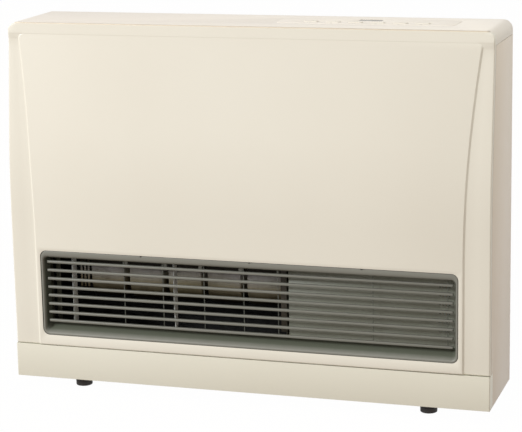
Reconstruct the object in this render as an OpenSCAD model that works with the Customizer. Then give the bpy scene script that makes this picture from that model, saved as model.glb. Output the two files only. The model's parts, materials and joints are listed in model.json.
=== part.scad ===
// Wall mounted, fan assisted gas convector heater with a balanced flue.
// Millimetres. The front faces -Y, the wall is at +Y, Z is up and the feet stand at z = 0.
// Pieces are drawn in the cabinet's own frame: x = 0 on the centre line, y = 0 on the front
// face of the kick plate and z = 0 on the cabinet's underside.

/* [Cabinet] */
// Width of the cabinet
cab_w = 930; // [910:1:1000]
// Height of the cabinet above its feet
cab_h = 687; // [680:1:740]
// Depth from the kick plate to the back of the rear panel
cab_d = 202; // [200:1:230]
// Space that the rear fittings take up between the rear panel and the wall
wall_gap = 48; // [46:1:70]
// Thickness of the outer sheet steel
sheet_t = 1.2; // [0.8:0.1:1.6]
// Visible seam between outer panels
seam = 0.8; // [0.4:0.1:1.5]
// Height of the kick plate
kick_h = 64.5; // [50:0.5:75]
// Depth of the kick plate's side returns
kick_return = 28; // [20:1:35]
// Height that the feet hold the cabinet off the floor
foot_h = 22; // [18:1:30]
// Diameter of a foot pad
foot_d = 33; // [26:1:40]
// Distance of the outer feet from the cabinet's side
foot_inset = 121.5; // [60:0.5:150]

/* [Front panel] */
// How far the panel's side strips stand behind the kick plate
strip_back = 2.5; // [1:0.1:5]
// How far the pressed field stands out from the side strips
field_raise = 3; // [1:0.1:4]
// Width of the sloping step round the pressed field
step_w = 4.5; // [4:0.5:12]
// Width of each side strip at the foot of the panel
strip_w = 47; // [40:0.5:60]
// Height at which the field starts to widen
field_arc_z = 260; // [240:1:330]
// Radius of the curve along which the field widens
field_arc_r = 2950; // [2600:10:3600]
// Distance from the top of the field to the top of the cabinet
field_drop = 22; // [14:1:40]
// Corner radius of the field
field_r = 10; // [6:1:16]
// Height at which the panel starts to lean back
lean_z = 330; // [300:1:360]
// Radius of the bend into the leaning stretch
lean_r = 1500; // [1200:10:2200]
// Angle of the leaning stretch
lean_a = 6; // [4:0.5:7]
// Outer radius of the panel's rolled edge
edge_r = 3.4; // [2.5:0.1:5]
// Depth of the panel's turned edge
panel_return = 8; // [6:0.5:12]
// Gap between the panel's turned edge and the side panels
side_gap = 2.2; // [0.8:0.1:3]
// Radius of the panel's top corners
panel_corner_r = 13; // [8:0.5:20]

/* [Top cover] */
// Thickness of the moulded top cover
cover_t = 2.2; // [1.6:0.1:3]
// Height of the cover's side walls
cover_h = 26; // [25:0.5:40]
// Radius of the cover's side corners
cover_r = 25; // [10:0.5:25]
// Distance of the control fascia from the cabinet's right side
fascia_inset = 85; // [60:1:100]
// Length of the control fascia
fascia_l = 335; // [300:1:350]
// Depth of the control fascia
fascia_d = 78; // [60:1:85]
// Distance from the rear panel to the fascia
fascia_back = 37; // [25:1:45]
// Corner radius of the fascia
fascia_r = 15; // [6:1:20]
// Thickness of the fascia plate
fascia_t = 2; // [1.6:0.1:3]
// Length of a push button
button_l = 26; // [18:1:32]
// Depth of a push button
button_d = 12; // [9:0.5:16]
// Clearance round a push button
button_gap = 0.4; // [0.3:0.05:0.8]
// Height that a button stands above the fascia
button_proud = 1.4; // [1:0.1:2.4]
// Travel of a push button
button_travel = 1.2; // [0.8:0.1:1.5]
// Distance between neighbouring buttons
button_pitch = 42; // [38:1:46]
// Length of the display window
window_l = 44; // [30:1:60]
// Depth of the display window
window_d = 17; // [12:1:22]

/* [Grille] */
// Length of the grille bezel
grille_l = 812; // [700:1:816]
// Height of the grille bezel
grille_h = 165.5; // [150:0.5:180]
// Height of the bezel's lower edge above the cabinet's underside
grille_z = 87; // [80:1:100]
// Corner radius of the bezel
grille_r = 12; // [8:0.5:16]
// Depth of the bezel
bezel_d = 24; // [20:1:30]
// Width of the bezel's flat rim
bezel_rim = 4; // [2.5:0.5:6]
// Height of the bezel's upper rim
bezel_brow = 9; // [5:0.5:12]
// Gap between the bezel and the edge of the panel's opening
bezel_gap = 0.9; // [0.3:0.1:1.2]
// Number of louvre bars
bar_n = 8; // [6:1:10]
// Distance between louvre bars
bar_pitch = 16.6; // [14:0.1:18]
// Height of a louvre bar
bar_h = 5.2; // [4:0.1:7]
// Depth of a louvre bar
bar_d = 6; // [4:0.5:8]
// Distance of the bars behind the kick plate's face
bar_back = 6; // [5:0.5:8]
// Depth of an air vane behind the bars
vane_d = 20.5; // [14:0.5:24]
// Diameter of the upright wires behind the bars
wire_d = 2; // [1.8:0.1:3]
// Width of the gas and flue side, from the divider wall to the cabinet's right side
works_w = 387; // [370:1:400]

/* [Warm air side] */
// Distance of the air box from the cabinet's left side
air_box_gap = 35; // [30:1:45]
// Radius of the crossflow rotor
rotor_r = 48; // [40:1:50]
// Blades of the crossflow rotor
rotor_blades = 24; // [16:1:28]
// Distance between the rotor's end and the divider wall
rotor_gap = 44; // [36:1:120]
// Thickness of a rotor blade
blade_t = 1.2; // [0.8:0.1:1.6]
// Distance of the rotor's shaft below the top of the cabinet
rotor_drop = 125; // [118:1:137]
// Shaft radius of the crossflow rotor
shaft_r = 4; // [3:0.5:6]
// Running clearance of a shaft in its bearing
run_gap = 0.05; // [0.02:0.01:0.1]
// Width of one heat exchanger cell
cell_w = 66; // [50:1:68]
// Distance between heat exchanger cells
cell_pitch = 79.5; // [76:0.5:80]
// Number of heat exchanger cells
cell_n = 5; // [3:1:5]
// Depth of a cell
cell_d = 90; // [70:1:94]
// Height of a cell's rounded bottom
cell_z = 140; // [130:1:160]
// Distance of the combustion chamber's foot below the rotor's shaft
chamber_drop = 217; // [202:1:232]
// Height of the combustion chamber
chamber_h = 120; // [100:1:125]
// Thickness of the inner sheet metal
inner_t = 1.2; // [0.8:0.1:1.6]

/* [Gas and flue side] */
// Distance of the flue from the cabinet's right side
flue_inset = 180; // [165:1:195]
// Distance of the flue's axis below the combustion chamber's foot
flue_drop = 15; // [0:1:20]
// Outer radius of the fresh air collar
collar_r = 40; // [36:0.5:44]
// Outer radius of the exhaust pipe
exhaust_r = 25; // [20:0.5:28]
// Wall of the flue pipes
flue_t = 1.5; // [1:0.1:2]
// Outer radius of the exhaust fan's housing
fan_house_r = 62; // [58:1:66]
// Depth of the exhaust fan's housing
fan_house_d = 45; // [40:1:48]
// Distance of the gas inlet from the cabinet's right side
gas_inset = 85; // [70:1:95]
// Height of the gas inlet
gas_z = 100; // [90:1:120]
// Radius of the gas inlet's thread
gas_thread_r = 10.48; // [8:0.01:13.3]
// Radius of the gas pipes
gas_pipe_r = 7; // [5:0.5:8]

/* [Rear fittings] */
// Height of an air filter
filter_h = 190; // [170:1:196]
// Length of one air filter
filter_l = 236; // [200:1:240]
// Thickness of an air filter's frame
filter_t = 6; // [4:0.5:8]
// Distance of the wall bracket holes from the cabinet's side
bracket_inset = 75; // [65:1:105]
// Vertical spacing of the wall bracket holes
bracket_rise = 14; // [12:1:16]
// Radius of the wall bracket holes
bracket_hole_r = 3.3; // [2.5:0.1:4]

/* [Hidden] */
$fn = 48;
front_y = -(cab_d + wall_gap) / 2;
half_w = cab_w / 2;
outlet_x = half_w - works_w;                 // divider wall, where the air outlet ends
flue_x = half_w - flue_inset;
gas_x = half_w - gas_inset;
fit = 0.3;                                   // gap between sheets that lie in one another
back_in = cab_d - sheet_t;                   // inner face of the rear panel
seam_z = cab_h - cover_h;                    // seam under the top cover
panel_z0 = kick_h + seam;
panel_z1 = cab_h - cover_t - 0.4;
tray_z = sheet_t;
tray_t = 1.5;
tray_top = tray_z + tray_t;
tray_flange = 20;
foot_y_front = 42;
foot_y_rear = cab_d - 37;
stud_r = 4;

// Grille
grille_z1 = grille_z + grille_h;
grille_x = grille_l / 2;
bezel_front = 0.3;
sill_h = 22;                                  // rear edge of the bezel's lower inner face
bezel_y = bezel_front + bezel_d;             // rear face of the bezel
bar_z0 = grille_z + 26.3;                    // lowest bar
bar_end = grille_x - 10;
bar_back_y = bar_back + bar_d;
wire_y = bar_back_y + wire_d / 2 - 0.2;
wire_foot = 5;
wire_xs = concat([for (d = [165.5, 244, 326, 404, 471]) d - grille_x], [for (d = [160, 21]) grille_x - d]);
vane_xs = [57.7 - grille_x, 263.5 - grille_x];
notch_xs = [-227, 12.6, 228.7];
vane_t = 1.5;

// Air box
wall_left_x = -half_w + air_box_gap;
air_y0 = 50;
rotor_z = cab_h - rotor_drop;
air_top_z = rotor_z + 74;
rotor_y = cab_d - 68;
rotor_bays = 4;
disc_t = 2;
rotor_x0 = wall_left_x + 24;
rotor_x1 = outlet_x - rotor_gap;
rotor_l = rotor_x1 - rotor_x0;
hub_r = 12;
bearing_l = 14;
fan_motor_r = 34;
fan_motor_l = 62;
scroll_gap = 6;
cell_x0 = wall_left_x + 96;
cell_y0 = 78;
chamber_z = rotor_z - chamber_drop;
cells_x1 = cell_x0 + (cell_n - 1) * cell_pitch + cell_w;
chamber_x0 = wall_left_x + 30;
chamber_x1 = outlet_x - 16;
chamber_r = 28;
bead_pitch = (chamber_x1 - chamber_x0) / 6;  // stiffening beads round the chamber
burner_x1 = outlet_x + 92;
burner_z0 = chamber_z + 24;
burner_z1 = chamber_z + chamber_h - 24;
burner_y0 = cell_y0 + 14;
burner_y1 = cell_y0 + cell_d + 10;

// Exhaust and fresh air
flue_z = chamber_z - flue_drop;
house_x = flue_x - 35;
house_z = flue_z - 90;
house_y1 = cab_d - 62;
house_y0 = house_y1 - fan_house_d;
suction_r = 25;
ex_rotor_r = fan_house_r - 12;
ex_shaft_r = 3;
ex_motor_r = 34;
ex_motor_l = 38;
intake_y0 = cab_d - 52;
intake_half = collar_r + 10;
hose_r = 15;
hose_y = intake_y0 + 18;
hose_z = burner_z1 - 24;
hose_bend = 35;
valve_y1 = cab_d - 44;
valve_y0 = valve_y1 - 50;
manifold_y = valve_y0 + 2;
manifold_z = burner_z0 + 14;

// Top cover
cover_front = lean(cab_h);
fascia_y1 = cab_d - fascia_back;
fascia_y0 = fascia_y1 - fascia_d;
fascia_x1 = half_w - fascia_inset;
fascia_x = fascia_x1 - fascia_l;
fascia_mid = (fascia_x + fascia_x1) / 2;
fascia_top = cab_h + 0.4;
cover_in = cab_h - cover_t;                  // underside of the cover
fascia_low = cover_in - fascia_t;            // underside of the fascia
button_n = 6;
button_y = fascia_y0 + 24;
button_x0 = fascia_mid - (button_n - 1) / 2 * button_pitch;
button_flange = 1;
button_top = fascia_top + button_proud;
button_low = fascia_low - 0.2 - button_flange;
switch_gap = 0.3;
switch_h = 5;
board_t = 1.6;
board_top = button_low - button_travel - switch_gap - switch_h;
board_low = board_top - board_t;
board_x0 = fascia_x + 18;
board_x1 = fascia_x1 - 18;
window_y0 = fascia_y1 - 10 - window_d;

// Rear guard
bracket_z = seam_z - 14;
bracket_flange = 22;
guard_y1 = cab_d + wall_gap - 4;
guard_x0 = wall_left_x;
bracket_x = half_w - bracket_inset;
guard_x1 = guard_x0 + 2 * filter_l + 14;
guard_lip = 12;
guard_z1 = bracket_z - bracket_flange - guard_lip - 2;
guard_z0 = guard_z1 - filter_h - 5;
guard_mid = (guard_x0 + guard_x1) / 2;
filter_z0 = guard_z0 + 2.5;
filter_y = guard_y1 - 18 - filter_t;

// ---- helpers -------------------------------------------------------------------------------

// Places the cabinet's frame in the part's frame.
module in_cabinet() translate([0, front_y, foot_h]) children();

// A box between two opposite corners.
module block(lo, hi) translate(lo) cube(hi - lo);

// A rectangle with round corners, from its lowest to its highest corner.
module round_rect(lo, hi, r) {
    translate([lo[0] + r, lo[1]]) square([hi[0] - lo[0] - 2 * r, hi[1] - lo[1]]);
    translate([lo[0], lo[1] + r]) square([hi[0] - lo[0], hi[1] - lo[1] - 2 * r]);
    for (x = [lo[0] + r, hi[0] - r], y = [lo[1] + r, hi[1] - r]) translate([x, y]) circle(r);
}

// Extrudes an outline drawn as (y, z) along X.
module along_x(x0, x1) translate([x0, 0, 0]) rotate([90, 0, 90]) linear_extrude(x1 - x0) children();

// Extrudes an outline drawn as (x, z) along Y.
module along_y(y0, y1) translate([0, y1, 0]) rotate([90, 0, 0]) linear_extrude(y1 - y0) children();

// Extrudes an outline drawn as (x, y) along Z.
module along_z(z0, z1) translate([0, 0, z0]) linear_extrude(z1 - z0) children();

// Cylinders along each axis.
module rod_x(x0, x1, y, z, r) translate([x0, y, z]) rotate([0, 90, 0]) cylinder(h = x1 - x0, r = r);
module rod_y(y0, y1, x, z, r) translate([x, y0, z]) rotate([-90, 0, 0]) cylinder(h = y1 - y0, r = r);
module rod_z(z0, z1, x, y, r) translate([x, y, z0]) cylinder(h = z1 - z0, r = r);

// Set back of the front panel's side strips behind the kick plate at height z.
function lean(z) =
    let (bend = lean_r * sin(lean_a))
    z <= lean_z ? strip_back
    : z <= lean_z + bend ? strip_back + lean_r - sqrt(lean_r * lean_r - (z - lean_z) * (z - lean_z))
    : strip_back + lean_r * (1 - cos(lean_a)) + (z - lean_z - bend) * tan(lean_a);

// Heights at which a side outline follows the lean, between z0 and z1.
function lean_steps(z0, z1) = concat([z0],
    [for (i = [0:8]) let (z = lean_z + i * lean_r * sin(lean_a) / 8) if (z > z0 + 1 && z < z1 - 1) z], [z1]);

function reversed(v) = [for (i = [len(v) - 1:-1:0]) v[i]];

// The (y, z) outline of all that lies a given distance behind the front line.
module behind_front(gap, z0, z1, y1)
    polygon(concat([for (z = lean_steps(z0, z1)) [lean(z) + gap, z]], [[y1, z1], [y1, z0]]));

// A (y, z) band that follows the front line.
module front_band(gap, t, z0, z1)
    polygon(concat([for (z = lean_steps(z0, z1)) [lean(z) + gap, z]],
                   [for (z = reversed(lean_steps(z0, z1))) [lean(z) + gap + t, z]]));

// ---- front panel ---------------------------------------------------------------------------

field_z1 = cab_h - field_drop;
corner_z = panel_z1 - panel_corner_r;
corner_x = half_w - panel_corner_r;

// Smooth step from 0 to 1.
function ease(k) = let (c = min(1, max(0, k))) c * c * (3 - 2 * c);

// How much a round corner of radius r has drawn in, at height d above its centre.
function drawn_in(r, d) = d <= 0 ? 0 : r - sqrt(max(0, r * r - d * d));

// Half the width of the pressed field at height z, with its rounded top corners.
function field_half(z) =
    half_w - strip_w
    + (z <= field_arc_z ? 0
       : field_arc_r - sqrt(field_arc_r * field_arc_r - pow(min(z, field_z1) - field_arc_z, 2)))
    - drawn_in(field_r, min(z, field_z1) - field_z1 + field_r);

// Rolls the panel's foot back.
function foot_roll(z) = drawn_in(edge_r, panel_z0 + edge_r - z);

// One side of the panel's section at height z, from the turned edge to the field: inset is 0 on the
// outer face and the sheet's thickness on the inner one.
function panel_side(z, inset) =
    let (y = lean(z) + foot_roll(z),
         w = corner_x + sqrt(max(0, pow(panel_corner_r - inset, 2) - pow(max(0, z - corner_z), 2))),
         r = edge_r - inset,
         top = ease((field_z1 - z) / step_w))
    concat([[w, lean(z) + panel_return]],
           [for (a = [0:30:90]) [w - r * (1 - cos(a)), max(y + inset + r * (1 - sin(a)), y + inset)]],
           [for (k = [0:0.25:1]) [field_half(z) - step_w * k, y + inset - field_raise * min(ease(k), top)]]);

// The closed section at height z: round the outer face and back along the inner one.
function mirrored(side) = concat([for (p = side) [-p[0], p[1]]], reversed(side));
function panel_ring(z) = concat(mirrored(panel_side(z, 0)), reversed(mirrored(panel_side(z, sheet_t))));

panel_rows = concat(
    [for (a = [0:30:90]) panel_z0 + edge_r * (1 - cos(a))],
    [field_arc_z],
    [for (i = [1:9]) field_arc_z + i * (field_z1 - field_r - field_arc_z) / 9],
    [for (i = [1:4]) field_z1 - field_r + field_r * sin(22.5 * i)],
    [for (a = [0:22.5:90]) corner_z + (panel_corner_r - sheet_t) * sin(a)]);

// A skin through a stack of closed sections, each half outer and half inner face.
module loft(rings) {
    n = len(rings[0]);
    m = len(rings);
    wall = [for (i = [0:m - 2], j = [0:n - 1]) let (a = i * n + j, b = i * n + (j + 1) % n)
            each [[b + n, b, a], [a + n, b + n, a]]];
    cap = [for (j = [0:n / 2 - 2]) let (k = n - 1 - j) each [[k - 1, k, j], [j + 1, k - 1, j]]];
    lid = [for (f = cap) [f[2] + (m - 1) * n, f[1] + (m - 1) * n, f[0] + (m - 1) * n]];
    polyhedron([for (r = rings) each r], concat(wall, cap, lid));
}

module grille_opening(grow, y0, y1)
    along_y(y0, y1)
        round_rect([-grille_x - grow, grille_z - grow], [grille_x + grow, grille_z1 + grow], grille_r + grow);

module front_panel() color("linen") in_cabinet() {
    difference() {
        union() {
            loft([for (z = panel_rows) [for (p = panel_ring(z)) [p[0], p[1], z]]]);
            along_y(lean(panel_z1), lean(panel_z1) + panel_return) intersection() {
                round_rect([-half_w, panel_z1 - 3 * panel_corner_r], [half_w, panel_z1], panel_corner_r);
                translate([-half_w, panel_z1 - sheet_t]) square([cab_w, sheet_t]);
            }
            block([-half_w + edge_r, lean(panel_z0) + edge_r - 0.2, panel_z0],
                  [half_w - edge_r, lean(panel_z0) + panel_return, panel_z0 + sheet_t]);
            // pads that bear on the side panels' turned edges
            for (sx = [0, 1], z = [kick_h + 20, lean_z - 40]) mirror([sx, 0, 0])
                block([half_w - 12, strip_back + panel_return - 3, z],
                      [half_w - sheet_t / 2, strip_back + panel_return + side_gap, z + 18]);
        }
        grille_opening(bezel_gap, -5, 12);
    }
}

// ---- casing --------------------------------------------------------------------------------

module kick_plate() color("linen") in_cabinet() {
    bend_r = 2;
    along_z(0, kick_h) difference() {
        round_rect([-half_w, 0], [half_w, kick_return + 10], bend_r);
        round_rect([-half_w + sheet_t, sheet_t], [half_w - sheet_t, kick_return + 20], bend_r - sheet_t);
        translate([-half_w - 1, kick_return]) square([cab_w + 2, 30]);
    }
    block([-half_w + bend_r, sheet_t - 0.2, 0], [half_w - bend_r, kick_return / 2, sheet_t]);
    block([-half_w + bend_r, sheet_t - 0.2, kick_h - sheet_t], [half_w - bend_r, kick_return / 2, kick_h]);
}

// The right hand side panel; the left one is its mirror image.
module side_panel() {
    gap = panel_return + side_gap;
    turned = 14;
    difference() {
        along_x(half_w - sheet_t, half_w) behind_front(gap, 0, seam_z - seam, cab_d);
        block([half_w - 5, -1, -1], [half_w + 1, kick_return + seam, kick_h + seam]);
    }
    along_x(half_w - turned, half_w - sheet_t / 2) front_band(gap, sheet_t, kick_h + 4, seam_z - seam);
    block([half_w - turned, back_in - sheet_t, tray_top + 1], [half_w - sheet_t / 2, back_in, seam_z - 4]);
}

module side_panel_right() color("linen") in_cabinet() side_panel();

module side_panel_left() color("linen") in_cabinet() mirror([1, 0, 0]) side_panel();

// The cover's outline as (x, z), drawn in by a wall.
module cover_outline(inset)
    round_rect([-half_w + inset, cab_h - 3 * cover_r], [half_w - inset, cab_h - inset], cover_r - inset);

module cover_shell(y0, y1) difference() {
    along_y(y0, y1) intersection() {
        cover_outline(0);
        translate([-half_w, seam_z]) square([cab_w, cover_h]);
    }
    along_y(y0 + cover_t, y1 - cover_t) cover_outline(cover_t);
}

module fascia_outline(grow)
    round_rect([fascia_x - grow, fascia_y0 - grow], [fascia_x1 + grow, fascia_y1 + grow], fascia_r + grow);

module top_cover() color("linen") in_cabinet() {
    lip_y = cover_front + panel_return + seam;
    difference() {
        union() {
            intersection() {
                cover_shell(lean(seam_z), cab_d);
                along_x(-half_w, half_w) behind_front(panel_return + seam, seam_z - 1, cab_h + 1, cab_d + 1);
            }
            along_y(lip_y, lip_y + cover_t) intersection() {
                cover_outline(0);
                translate([-half_w, seam_z]) square([cab_w, cover_h]);
            }
            along_y(cover_front, lip_y + 1) intersection() {
                cover_outline(0);
                translate([-corner_x, cover_in]) square([2 * corner_x, cover_t]);
            }
            // tongues that hold the cover between the side panels
            for (sx = [0, 1], y = [cab_d / 2 - 28, cab_d - 50]) mirror([sx, 0, 0])
                block([half_w - sheet_t - 2, y, seam_z - 12], [half_w - sheet_t, y + 18, seam_z + 2]);
        }
        along_z(cover_in - 1, cab_h + 1) fascia_outline(0.4);
    }
}

// A swaged bead across the rear panel; wall is 0 for its outer face and the sheet for its hollow.
module rear_bead(z, wall) {
    bead_r = 6;
    rod_x(wall_left_x + 20 + wall, outlet_x + 100 - wall, cab_d - bead_r + 2, z, bead_r - wall);
}

module back_panel() color("gainsboro") in_cabinet() difference() {
    bead_zs = [for (i = [0:2]) 90 + i * (guard_z0 - 145) / 2];
    union() {
        block([-half_w + sheet_t + fit, back_in, tray_z + fit], [half_w - sheet_t - fit, cab_d, seam_z - seam]);
        intersection() {
            for (z = bead_zs) rear_bead(z, 0);
            block([-half_w, cab_d - sheet_t / 2, 0], [half_w, cab_d + 5, seam_z]);
        }
    }
    for (z = bead_zs) rear_bead(z, sheet_t);
    // vents of the electrical side
    for (i = [0:9]) along_y(back_in - 1, cab_d + 1)
        translate([outlet_x + 72 + i * 15, rotor_z - 40]) round_rect([-3, 0], [3, 60], 2.9);
    // room air inlet behind the crossflow rotor
    along_y(back_in - 1, cab_d + 1)
        round_rect([guard_x0 + 16, guard_z0 + 12], [guard_x1 - 16, guard_z1 - 12], 6);
    rod_y(back_in - 1, cab_d + 1, flue_x, flue_z, collar_r + fit);
    rod_y(back_in - 1, cab_d + 1, gas_x, gas_z, gas_pipe_r + 3);
    rod_y(back_in - 1, cab_d + 1, half_w - 45, gas_z + 60, 7);
}

module base_tray() color("gainsboro") in_cabinet() difference() {
    x = half_w - sheet_t - fit;
    y0 = sheet_t + fit;
    y1 = back_in - sheet_t - fit;
    union() {
        block([-x, y0, tray_z], [x, back_in - fit, tray_top]);
        block([-x, y0, tray_z], [x, y0 + tray_t, tray_z + tray_flange]);
        for (s = [-x, x - tray_t]) block([s, y0, tray_z], [s + tray_t, y1, tray_z + tray_flange]);
    }
    for (sx = [-1, 1], y = [foot_y_front, foot_y_rear])
        rod_z(tray_z - 1, tray_top + 1, sx * (half_w - foot_inset), y, stud_r + 0.5);
}

// ---- feet ----------------------------------------------------------------------------------

module foot_nuts() color("silver") in_cabinet()
    for (sx = [-1, 1], y = [foot_y_front, foot_y_rear]) translate([sx * (half_w - foot_inset), y, tray_top])
        difference() {
            cylinder(h = 8, r = 8, $fn = 6);
            translate([0, 0, -1]) cylinder(h = 10, r = stud_r + run_gap);
        }

// A rubber pad round a steel stud; the pad is turned, with a slight taper and a rounded lower rim.
module foot(sx, y) in_cabinet() translate([sx * (half_w - foot_inset), y, 0]) {
    rim = 1;
    top_r = foot_d / 2;
    low_r = top_r - 0.6;
    color("dimgray") rotate_extrude() union() {
        polygon([[0, -foot_h], [low_r - rim, -foot_h], [low_r - rim, -foot_h + rim], [low_r, -foot_h + rim],
                 [top_r - 0.4, -4], [top_r, -3], [top_r, tray_z], [0, tray_z]]);
        translate([low_r - rim, -foot_h + rim]) intersection() {
            circle(rim);
            translate([0, -rim]) square(rim);
        }
    }
    color("silver") cylinder(h = tray_top + 18, r = stud_r);
}

module foot_front_left() foot(-1, foot_y_front);
module foot_front_right() foot(1, foot_y_front);
module foot_rear_left() foot(-1, foot_y_rear);
module foot_rear_right() foot(1, foot_y_rear);

// ---- controls ------------------------------------------------------------------------------

function button_x(i) = button_x0 + i * button_pitch;

module button_outline(i, grow)
    translate([button_x(i), button_y])
        round_rect([-button_l / 2 - grow, -button_d / 2 - grow],
                   [button_l / 2 + grow, button_d / 2 + grow], 3 + grow);

module window_outline(grow)
    round_rect([fascia_mid - window_l / 2 - grow, window_y0 - grow],
               [fascia_mid + window_l / 2 + grow, window_y0 + window_d + grow], 2 + grow);

module control_fascia() color("antiquewhite") in_cabinet() difference() {
    union() {
        along_z(fascia_low, fascia_top) fascia_outline(0);
        along_z(fascia_low, cover_in) fascia_outline(5);
        // posts that carry the control board
        for (x = [board_x0 + 8, board_x1 - 8], y = [fascia_y0 + 8, fascia_y1 - 8])
            rod_z(board_top, fascia_low + 0.5, x, y, 3);
    }
    along_z(fascia_low - 1, fascia_top + 1) window_outline(0.2);
    for (i = [0:button_n - 1]) along_z(fascia_low - 1, fascia_top + 1) button_outline(i, button_gap);
}

module display_window() color("dimgray") in_cabinet() {
    along_z(fascia_low - 1.5, fascia_top - 0.3) window_outline(0);
    along_z(fascia_low - 1.5, fascia_low) window_outline(2);
}

// A push button: a cap through the fascia on a wider flange that stops it underneath.
module push_button(i) color("gray") in_cabinet() {
    along_z(button_low, button_top) button_outline(i, 0);
    along_z(button_low, button_low + button_flange) button_outline(i, button_gap + 1.2);
}

module power_button() push_button(0);
module mode_button() push_button(1);
module timer_button() push_button(2);
module lock_button() push_button(3);
module cooler_button() push_button(4);
module warmer_button() push_button(5);

module control_board() color("darkgreen") in_cabinet() {
    block([board_x0, fascia_y0 + 2, board_low], [board_x1, fascia_y1 - 2, board_top]);
    // one tact switch under each button
    for (i = [0:button_n - 1]) let (x = button_x(i)) {
        block([x - 3, button_y - 3, board_top], [x + 3, button_y + 3, board_top + switch_h - 1.5]);
        rod_z(board_top, board_top + switch_h, x, button_y, 1.7);
    }
    // display module under the window
    block([fascia_mid - window_l / 2, window_y0, board_top],
          [fascia_mid + window_l / 2, window_y0 + window_d, fascia_low - 2]);
}

// ---- grille --------------------------------------------------------------------------------

// A bezel whose inner faces slope in from the rim to the rear, the lower one most of all.
module grille_bezel() color("dimgray") in_cabinet() difference() {
    along_y(bezel_front, bezel_y)
        round_rect([-grille_x, grille_z], [grille_x, grille_z1], grille_r);
    hull() {
        along_y(bezel_front - 0.5, bezel_front)
            round_rect([-grille_x + bezel_rim, grille_z + bezel_rim],
                       [grille_x - bezel_rim, grille_z1 - bezel_brow], grille_r - bezel_rim, $fn = 32);
        along_y(bezel_y, bezel_y + 0.5)
            round_rect([-grille_x + 9, grille_z + sill_h], [grille_x - 9, grille_z1 - bezel_brow - 1],
                       grille_r - 7, $fn = 32);
    }
    for (x = wire_xs) rod_z(grille_z + wire_foot, grille_z1 - 3, x, wire_y, wire_d / 2 + run_gap);
    // notches that let the bezel be prised out of the panel
    for (x = notch_xs)
        block([x - 2, bezel_front - 1, grille_z1 - 1.6], [x + 2, bezel_front + 6, grille_z1 + 1]);
}

// Louvre bars with rounded front edges, welded to upright wires that stand in the bezel.
module grille_bars() color("gray") in_cabinet() {
    r = 1.2;
    for (i = [0:bar_n - 1]) {
        z = bar_z0 + i * bar_pitch;
        along_x(-bar_end, bar_end) union() {
            translate([bar_back + r, z - bar_h / 2]) square([bar_d - r, bar_h]);
            translate([bar_back, z - bar_h / 2 + r]) square([r, bar_h - 2 * r]);
            for (s = [-1, 1]) translate([bar_back + r, z + s * (bar_h / 2 - r)]) circle(r);
        }
    }
    for (x = wire_xs) rod_z(grille_z + wire_foot, grille_z1 - 3, x, wire_y, wire_d / 2);
}

duct_z0 = grille_z + 12;
duct_z1 = grille_z1 - 3;
duct_back = air_y0 - 1.2;

// Upright air vanes that reach from the duct to just behind the bars: one straight, one that is
// cut back towards its foot.
module grille_vanes() color("gray") in_cabinet() {
    z0 = duct_z0 + inner_t;
    z1 = duct_z1 - inner_t;
    y0 = wire_y + wire_d / 2 + 1.2;
    low = grille_z + sill_h + 1;
    high = grille_z1 - bezel_brow - 2;
    mid = (low + high) / 2;
    y1 = y0 + vane_d;
    along_x(vane_xs[0], vane_xs[0] + vane_t)
        polygon([[y0, high], [bezel_y, high], [bezel_y, z1], [y1, z1],
                 [y1, z0], [bezel_y, z0], [bezel_y, low], [y0, low]]);
    along_x(vane_xs[1], vane_xs[1] + vane_t)
        polygon([[y0, high], [bezel_y, high], [bezel_y, z1], [y1 - 1.5, z1], [y1 - 1.5, mid - 20], [y1 - 4, z0],
                 [bezel_y, z0], [bezel_y, low], [y0 + 5, low], [y0, mid - 20]]);
}

// The plate that closes the grille in front of the gas and electrical side.
module blank_plate() color("gray") in_cabinet() {
    x1 = grille_x - 3;
    difference() {
        block([outlet_x + 4, bezel_y, grille_z + 10], [x1, bezel_y + inner_t, grille_z1 - 2]);
        // rows of small vent holes between the bars, near the right end
        for (i = [1:bar_n - 2], x = [grille_x - 38:6:grille_x - 19])
            rod_y(bezel_y - 1, bezel_y + 5, x, bar_z0 + (i + 0.5) * bar_pitch, 1.2);
    }
    block([outlet_x + 4, bezel_y, grille_z1 - 2 - inner_t], [x1, bezel_y + 12, grille_z1 - 2]);
    block([outlet_x + 4, bezel_y, grille_z + 10], [x1, bezel_y + 12, grille_z + 10 + inner_t]);
}

// A short duct from the air box to the bezel, with a floor that rises to the front.
module outlet_duct() color("darkgray") in_cabinet() {
    x0 = -grille_x + 3;
    x1 = outlet_x;
    difference() {
        block([x0, bezel_y, duct_z0], [x1, duct_back, duct_z1]);
        block([x0 + inner_t, bezel_y - 1, duct_z0 + inner_t], [x1 - inner_t, duct_back + 1, duct_z1 - inner_t]);
    }
    along_x(wall_left_x, outlet_x)
        polygon([[duct_back, duct_z0], [duct_back, duct_z0 + inner_t], [air_y0 + 10, duct_z0 + inner_t],
                 [back_in - 12, 60], [back_in - 12, 60 - inner_t], [air_y0 + 10, duct_z0]]);
}

// ---- warm air side -------------------------------------------------------------------------

module air_box_left_wall() color("silver") in_cabinet() {
    block([wall_left_x - inner_t, air_y0, tray_top], [wall_left_x, back_in, air_top_z]);
    block([wall_left_x - 14, air_y0, tray_top], [wall_left_x - inner_t / 2, back_in, tray_top + inner_t]);
}

module divider_wall() color("silver") in_cabinet() difference() {
    union() {
        block([outlet_x, air_y0, tray_top], [outlet_x + inner_t, back_in, air_top_z]);
        block([outlet_x + inner_t / 2, air_y0, tray_top], [outlet_x + 14, back_in, tray_top + inner_t]);
    }
    rod_x(outlet_x - 1, outlet_x + 3, rotor_y, rotor_z, hub_r);
    block([outlet_x - 1, burner_y0 - fit, burner_z0 - fit], [outlet_x + 3, burner_y1 + fit, burner_z1 + fit]);
    block([outlet_x - 1, house_y1 - fit, house_z - 30 - fit],
          [outlet_x + 3, house_y1 + 36 + fit, house_z + 30 + fit]);
}

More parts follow.
